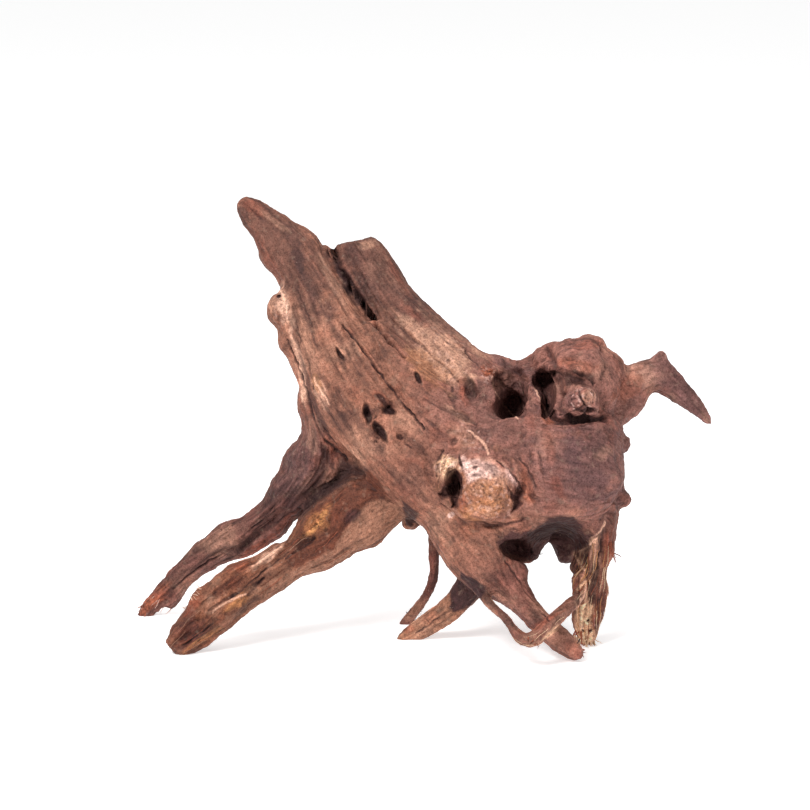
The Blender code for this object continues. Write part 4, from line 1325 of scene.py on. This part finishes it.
def add_tone(mesh, tones):
    """Smooths a mesh's shading and lays the stain on its vertices."""
    mesh.polygons.foreach_set("use_smooth", np.ones(len(mesh.polygons), bool))
    rgba = np.ones((len(tones), 4), np.float32)
    rgba[:, :3] = tones
    made = mesh.attributes.new("wood_tone", "FLOAT_COLOR", "POINT")
    made.data.foreach_set("color", rgba.ravel())


def linked(name, data):
    """A new object of this mesh, lamp or camera, in the scene."""
    made = bpy.data.objects.new(name, data)
    bpy.context.scene.collection.objects.link(made)
    return made


# Loose and lying fibres

STRAND_SIDES = 6


def strand(points, half, tone, parts):
    """Adds one closed tapering strand through these places in mm."""
    points = np.array(points)
    count = len(points)
    headings = np.gradient(points, axis=0)
    headings /= np.maximum(np.linalg.norm(headings, axis=1, keepdims=True), 1e-9)
    across = np.cross(headings, (0.3, 0.9, 0.2))
    across /= np.maximum(np.linalg.norm(across, axis=1, keepdims=True), 1e-9)
    other = np.cross(headings, across)
    base = sum(len(places) for places in parts["places"])
    angles = np.arange(STRAND_SIDES) * 2 * math.pi / STRAND_SIDES
    rings = []
    for index in range(count):
        width = half * (1 - 0.7 * (index / (count - 1)) ** 1.5)
        ring = np.cos(angles)[:, None] * across[index] + np.sin(angles)[:, None] * other[index]
        rings.append(points[index] + ring * width)
    parts["places"].append(np.concatenate(rings))
    parts["tones"].append(np.tile(as_linear(tone), (count * STRAND_SIDES, 1)))
    for index in range(count - 1):
        one = base + index * STRAND_SIDES
        for side in range(STRAND_SIDES):
            beside = (side + 1) % STRAND_SIDES
            parts["faces"].append((one + side, one + beside, one + beside + STRAND_SIDES,
                                   one + side + STRAND_SIDES))
    last = base + (count - 1) * STRAND_SIDES
    parts["faces"].append(tuple(base + side for side in reversed(range(STRAND_SIDES))))
    parts["faces"].append(tuple(last + side for side in range(STRAND_SIDES)))


def strands_piece(name, parts):
    """All the strands of one kind as one piece."""
    places = kept_in_box(np.concatenate(parts["places"]))
    mesh = bpy.data.meshes.new(name)
    mesh.from_pydata((places * MM).tolist(), [], parts["faces"])
    add_tone(mesh, np.concatenate(parts["tones"]))
    return linked(name, mesh)


def tuft(name, wood, seen):
    """Loose fibres that start on the wood near a place on the photo."""
    limb, x, y, spread, heading, count, length, half, fan, tone = TUFTS[name]
    chance = np.random.default_rng(len(name) * 7 + count)
    reach = np.hypot(seen[:, 0] - x, seen[:, 1] - y)
    beside = np.flatnonzero(reach < max(spread, reach.min()) + 3)
    parts = {"places": [], "faces": [], "tones": []}
    across = math.radians(heading + 90)
    for _ in range(count):
        shift = chance.uniform(-1, 1) * spread
        at_x = x + shift * math.cos(across) + chance.normal() * 0.8
        at_y = y - shift * math.sin(across) + chance.normal() * 0.8
        gap = np.hypot(seen[beside, 0] - at_x, seen[beside, 1] - at_y)
        near = beside[np.argsort(gap)[:TUFT_PLACES]]
        start = wood.places[near[chance.integers(len(near))]]
        turn = math.radians(heading + chance.normal() * fan * 0.5)
        step = length * chance.uniform(0.5, 1.15) / (TUFT_JOINTS - 1)
        lean = chance.normal() * TUFT_LEAN
        heading_out = RIGHTWARD * math.cos(turn) + UPWARD * math.sin(turn)
        points = [start - heading_out * TUFT_ROOTED + BACKWARD * TUFT_SUNK]
        for _ in range(TUFT_JOINTS):
            turn += chance.normal() * TUFT_WAVER
            move = RIGHTWARD * math.cos(turn) + UPWARD * math.sin(turn) + BACKWARD * lean
            points.append(points[-1] + move * step)
        strand(points, half * chance.uniform(0.6, 1.3), tone, parts)
    return limb, strands_piece(name, parts)


def lying_fibres(name, wood, normals, masks, owners, names):
    """Fibres that lie along the grain of a limb and lift at one end."""
    limb, count, steps, half, lift, tones = LYING_FIBRES[name]
    chance = np.random.default_rng(len(name) * 5 + count)
    own = np.flatnonzero(owners == names.index(limb))
    tree = KDTree(len(own))
    for index, vertex in enumerate(own):
        tree.insert(wood.places[vertex], index)
    tree.balance()
    parts = {"places": [], "faces": [], "tones": []}
    shown = own[masks["facing"][own] > -0.2]
    for start in chance.choice(shown, count):
        here, way = start, chance.choice((-1, 1))
        points = []
        for step in range(steps):
            rise = lift * (step / steps) ** 2 * 2 - 0.08
            points.append(wood.places[here] + normals[here] * rise)
            ahead = wood.places[here] + masks["grain"][here] * way * 0.9
            here = own[tree.find(Vector(ahead))[1]]
        points = np.array(points)
        points[1:-1] = (points[:-2] + points[1:-1] + points[2:]) / 3
        if np.linalg.norm(np.diff(points, axis=0), axis=1).min() > 0.1:
            tone = tones[chance.integers(len(tones))]
            strand(points, half * chance.uniform(0.6, 1.3), tone, parts)
    return limb, strands_piece(name, parts)


# Finishes


# How fine the finish's pores, scuffs and dust are: scale, detail and roughness of the noise
PORES = (1500, 4, 0.65)
SCUFFS = (260, 5, 0.6)
DUST = (700, 3, 0.5)
RELIEF_HEIGHT = 0.0009
SHEEN = 0.25


def add_node(tree, kind, **settings):
    """A new shader node with its settings."""
    node = tree.nodes.new(kind)
    for key, value in settings.items():
        setattr(node, key, value)
    return node


def weathering_group():
    """Fine pores, scuffs and dust over a tone: colour, roughness and height."""
    group = bpy.data.node_groups.new("weathered_surface", "ShaderNodeTree")
    face = group.interface
    tone = face.new_socket("Tone", in_out="INPUT", socket_type="NodeSocketColor")
    tone.default_value = (0.2, 0.1, 0.07, 1)
    for name, value in (("Rough Places", 0.0), ("Streak", 0.0), ("Pore Depth", 0.5),
                        ("Dullness", 0.0)):
        socket = face.new_socket(name, in_out="INPUT", socket_type="NodeSocketFloat")
        socket.default_value = value
    for name, kind in (("Color", "NodeSocketColor"), ("Roughness", "NodeSocketFloat"),
                       ("Height", "NodeSocketFloat")):
        face.new_socket(name, in_out="OUTPUT", socket_type=kind)
    nodes, links = group.nodes, group.links
    source = nodes.new("NodeGroupInput")
    result = nodes.new("NodeGroupOutput")
    where = nodes.new("ShaderNodeTexCoord")

    def join(values, sockets):
        for value, socket in zip(values, sockets):
            if isinstance(value, bpy.types.NodeSocket):
                links.new(value, socket)
            else:
                socket.default_value = value

    def noise_node(scale, detail, roughness):
        made = add_node(group, "ShaderNodeTexNoise")
        made.inputs["Scale"].default_value = scale
        made.inputs["Detail"].default_value = detail
        made.inputs["Roughness"].default_value = roughness
        links.new(where.outputs["Object"], made.inputs["Vector"])
        return made.outputs["Fac"]

    def ramp(value, low, high, out_low=0.0, out_high=1.0):
        made = add_node(group, "ShaderNodeMapRange", interpolation_type="SMOOTHSTEP")
        join((value, low, high, out_low, out_high), made.inputs[:5])
        return made.outputs["Result"]

    def blend(kind, strength, one, other):
        made = add_node(group, "ShaderNodeMix", data_type="RGBA", blend_type=kind)
        join((strength, one, other), (made.inputs[0], made.inputs[6], made.inputs[7]))
        return made.outputs[2]

    def maths(kind, *values):
        made = add_node(group, "ShaderNodeMath", operation=kind)
        join(values, made.inputs)
        return made.outputs[0]

    pores, scuffs, dust = (noise_node(*fineness) for fineness in (PORES, SCUFFS, DUST))
    colour = blend("MULTIPLY", ramp(pores, 0.52, 0.38, 0, 0.75), source.outputs["Tone"],
                   (0.42, 0.32, 0.30, 1))
    colour = blend("MIX", ramp(scuffs, 0.54, 0.74, 0, 0.18), colour, (0.52, 0.36, 0.27, 1))
    colour = blend("MIX", ramp(dust, 0.67, 0.75, 0, 0.20), colour, (0.66, 0.48, 0.38, 1))
    links.new(colour, result.inputs["Color"])
    rough = maths("ADD", ramp(scuffs, 0.35, 0.7, 0.62, 0.84), source.outputs["Dullness"])
    rough = maths("MULTIPLY_ADD", source.outputs["Rough Places"], 0.08, rough)
    links.new(rough, result.inputs["Roughness"])
    height = maths("MULTIPLY_ADD", pores, source.outputs["Pore Depth"], source.outputs["Streak"])
    links.new(height, result.inputs["Height"])
    return group


def wood_finish(limb, group):
    """A weathered wood that takes its tone from the stain laid on the piece."""
    pore_depth, bump, dullness = FINISHES[limb]
    made = bpy.data.materials.new(limb + "_wood")
    made.use_nodes = True
    tree = made.node_tree
    shader = tree.nodes["Principled BSDF"]
    shader.inputs["Specular IOR Level"].default_value = SHEEN
    surface = add_node(tree, "ShaderNodeGroup", node_tree=group)
    surface.inputs["Pore Depth"].default_value = pore_depth
    surface.inputs["Dullness"].default_value = dullness
    for label, socket, output in (("wood_tone", "Tone", "Color"), ("rough", "Rough Places", "Fac"),
                                  ("fine", "Streak", "Fac")):
        reader = add_node(tree, "ShaderNodeAttribute", attribute_name=label)
        tree.links.new(reader.outputs[output], surface.inputs[socket])
    relief = tree.nodes.new("ShaderNodeBump")
    relief.inputs["Strength"].default_value = bump
    relief.inputs["Distance"].default_value = RELIEF_HEIGHT
    tree.links.new(surface.outputs["Color"], shader.inputs["Base Color"])
    tree.links.new(surface.outputs["Roughness"], shader.inputs["Roughness"])
    tree.links.new(surface.outputs["Height"], relief.inputs["Height"])
    tree.links.new(relief.outputs["Normal"], shader.inputs["Normal"])
    return made


# Studio


# Soft lamps: place in m, size in m and power in W
LAMPS = {
    "key_softbox": ((-0.75, -1.05, 1.50), 0.6, 26.0),
    "fill_softbox": ((0.95, -1.15, 0.55), 0.9, 3.5),
    "top_softbox": ((0.1, 0.25, 1.4), 0.8, 6.0),
}
LAMP_AIM = Vector((0, 0, 0.1))
SKY_LIGHT = 0.48
PAPER_GLOW = 0.48
PAPER_TONE = 0.92
PAPER_HALF = 8


def set_up_studio():
    """A pale floor, soft light and a camera where the photo was taken from."""
    scene = bpy.context.scene
    scene.view_settings.view_transform = "Standard"
    world = bpy.data.worlds.new("studio")
    scene.world = world
    world.use_nodes = True
    light = world.node_tree.nodes["Background"]
    light.inputs["Color"].default_value = (1, 1, 1, 1)
    light.inputs["Strength"].default_value = SKY_LIGHT

    for name, (place, size, power) in LAMPS.items():
        lamp = bpy.data.lights.new(name, "AREA")
        lamp.shape = "SQUARE"
        lamp.size = size
        lamp.energy = power
        holder = linked(name, lamp)
        holder.location = place
        aim = LAMP_AIM - Vector(place)
        holder.rotation_euler = aim.to_track_quat("-Z", "Y").to_euler()

    floor_mesh = bpy.data.meshes.new("floor")
    shape = bmesh.new()
    bmesh.ops.create_grid(shape, x_segments=1, y_segments=1, size=PAPER_HALF)
    shape.to_mesh(floor_mesh)
    shape.free()
    floor = linked("floor", floor_mesh)
    paper = bpy.data.materials.new("pale_paper")
    paper.use_nodes = True
    shader = paper.node_tree.nodes["Principled BSDF"]
    shader.inputs["Base Color"].default_value = (PAPER_TONE, PAPER_TONE, PAPER_TONE, 1)
    shader.inputs["Roughness"].default_value = 0.9
    shader.inputs["Emission Color"].default_value = (1, 1, 1, 1)
    shader.inputs["Emission Strength"].default_value = PAPER_GLOW
    floor_mesh.materials.append(paper)

    eye = bpy.data.cameras.new("camera")
    eye.sensor_width = 36
    eye.lens = eye.sensor_width * EYE_DISTANCE / SKETCH_WIDTH
    eye.clip_start = 0.05
    eye.clip_end = 30
    camera = linked("camera", eye)
    camera.location = Vector((SKETCH_ORIGIN - BACKWARD * EYE_DISTANCE) * MM)
    camera.rotation_euler = Vector(BACKWARD).to_track_quat("-Z", "Y").to_euler()
    scene.camera = camera


def main():
    solids = packed_solids()
    wood = fused_blank()
    nearest = np.array([solids["tree"].find_nearest(Vector(place))[2] for place in wood.places])
    shut = wood.soothed(shut_in(solids)[nearest], 6)
    shares, grain = limb_shares(wood.places)
    labels, names = piece_labels(wood, solids, nearest)
    labels = whole_patches(wood, labels)
    pull_outline(wood, solids["owners"][nearest])
    shut, shares, grain = (wood.carried(values) for values in (shut, shares, grain))
    wood, labels = wood.finer(), np.repeat(labels, 4)
    shut = wood.soothed(shut, 10)
    masks = worked(wood, shares, grain)
    tones = stained(wood, masks, shut)
    normals = wood.normals()
    group = weathering_group()
    finishes = {limb: wood_finish(limb, group) for limb in FINISHES}
    made = []
    owners = np.full(len(wood.places), -1)
    for index, name in enumerate(names):
        quads = wood.quads[labels == index]
        owners[quads.ravel()] = index
        limb = "root_crown" if name in CROWN_PIECES else name
        piece = made_piece(name + "_skin", wood, quads, masks, tones, normals)
        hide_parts(limb)
        made.append((limb, piece))
        print(name, len(piece.data.polygons), "faces")
    seen = on_photo(wood.places)
    made += [tuft(name, wood, seen) for name in TUFTS]
    made += [lying_fibres(name, wood, normals, masks, owners, names) for name in LYING_FIBRES]
    for limb, piece in made:
        piece.data.materials.append(finishes[limb])
        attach(piece, "root")
    set_up_studio()


main()
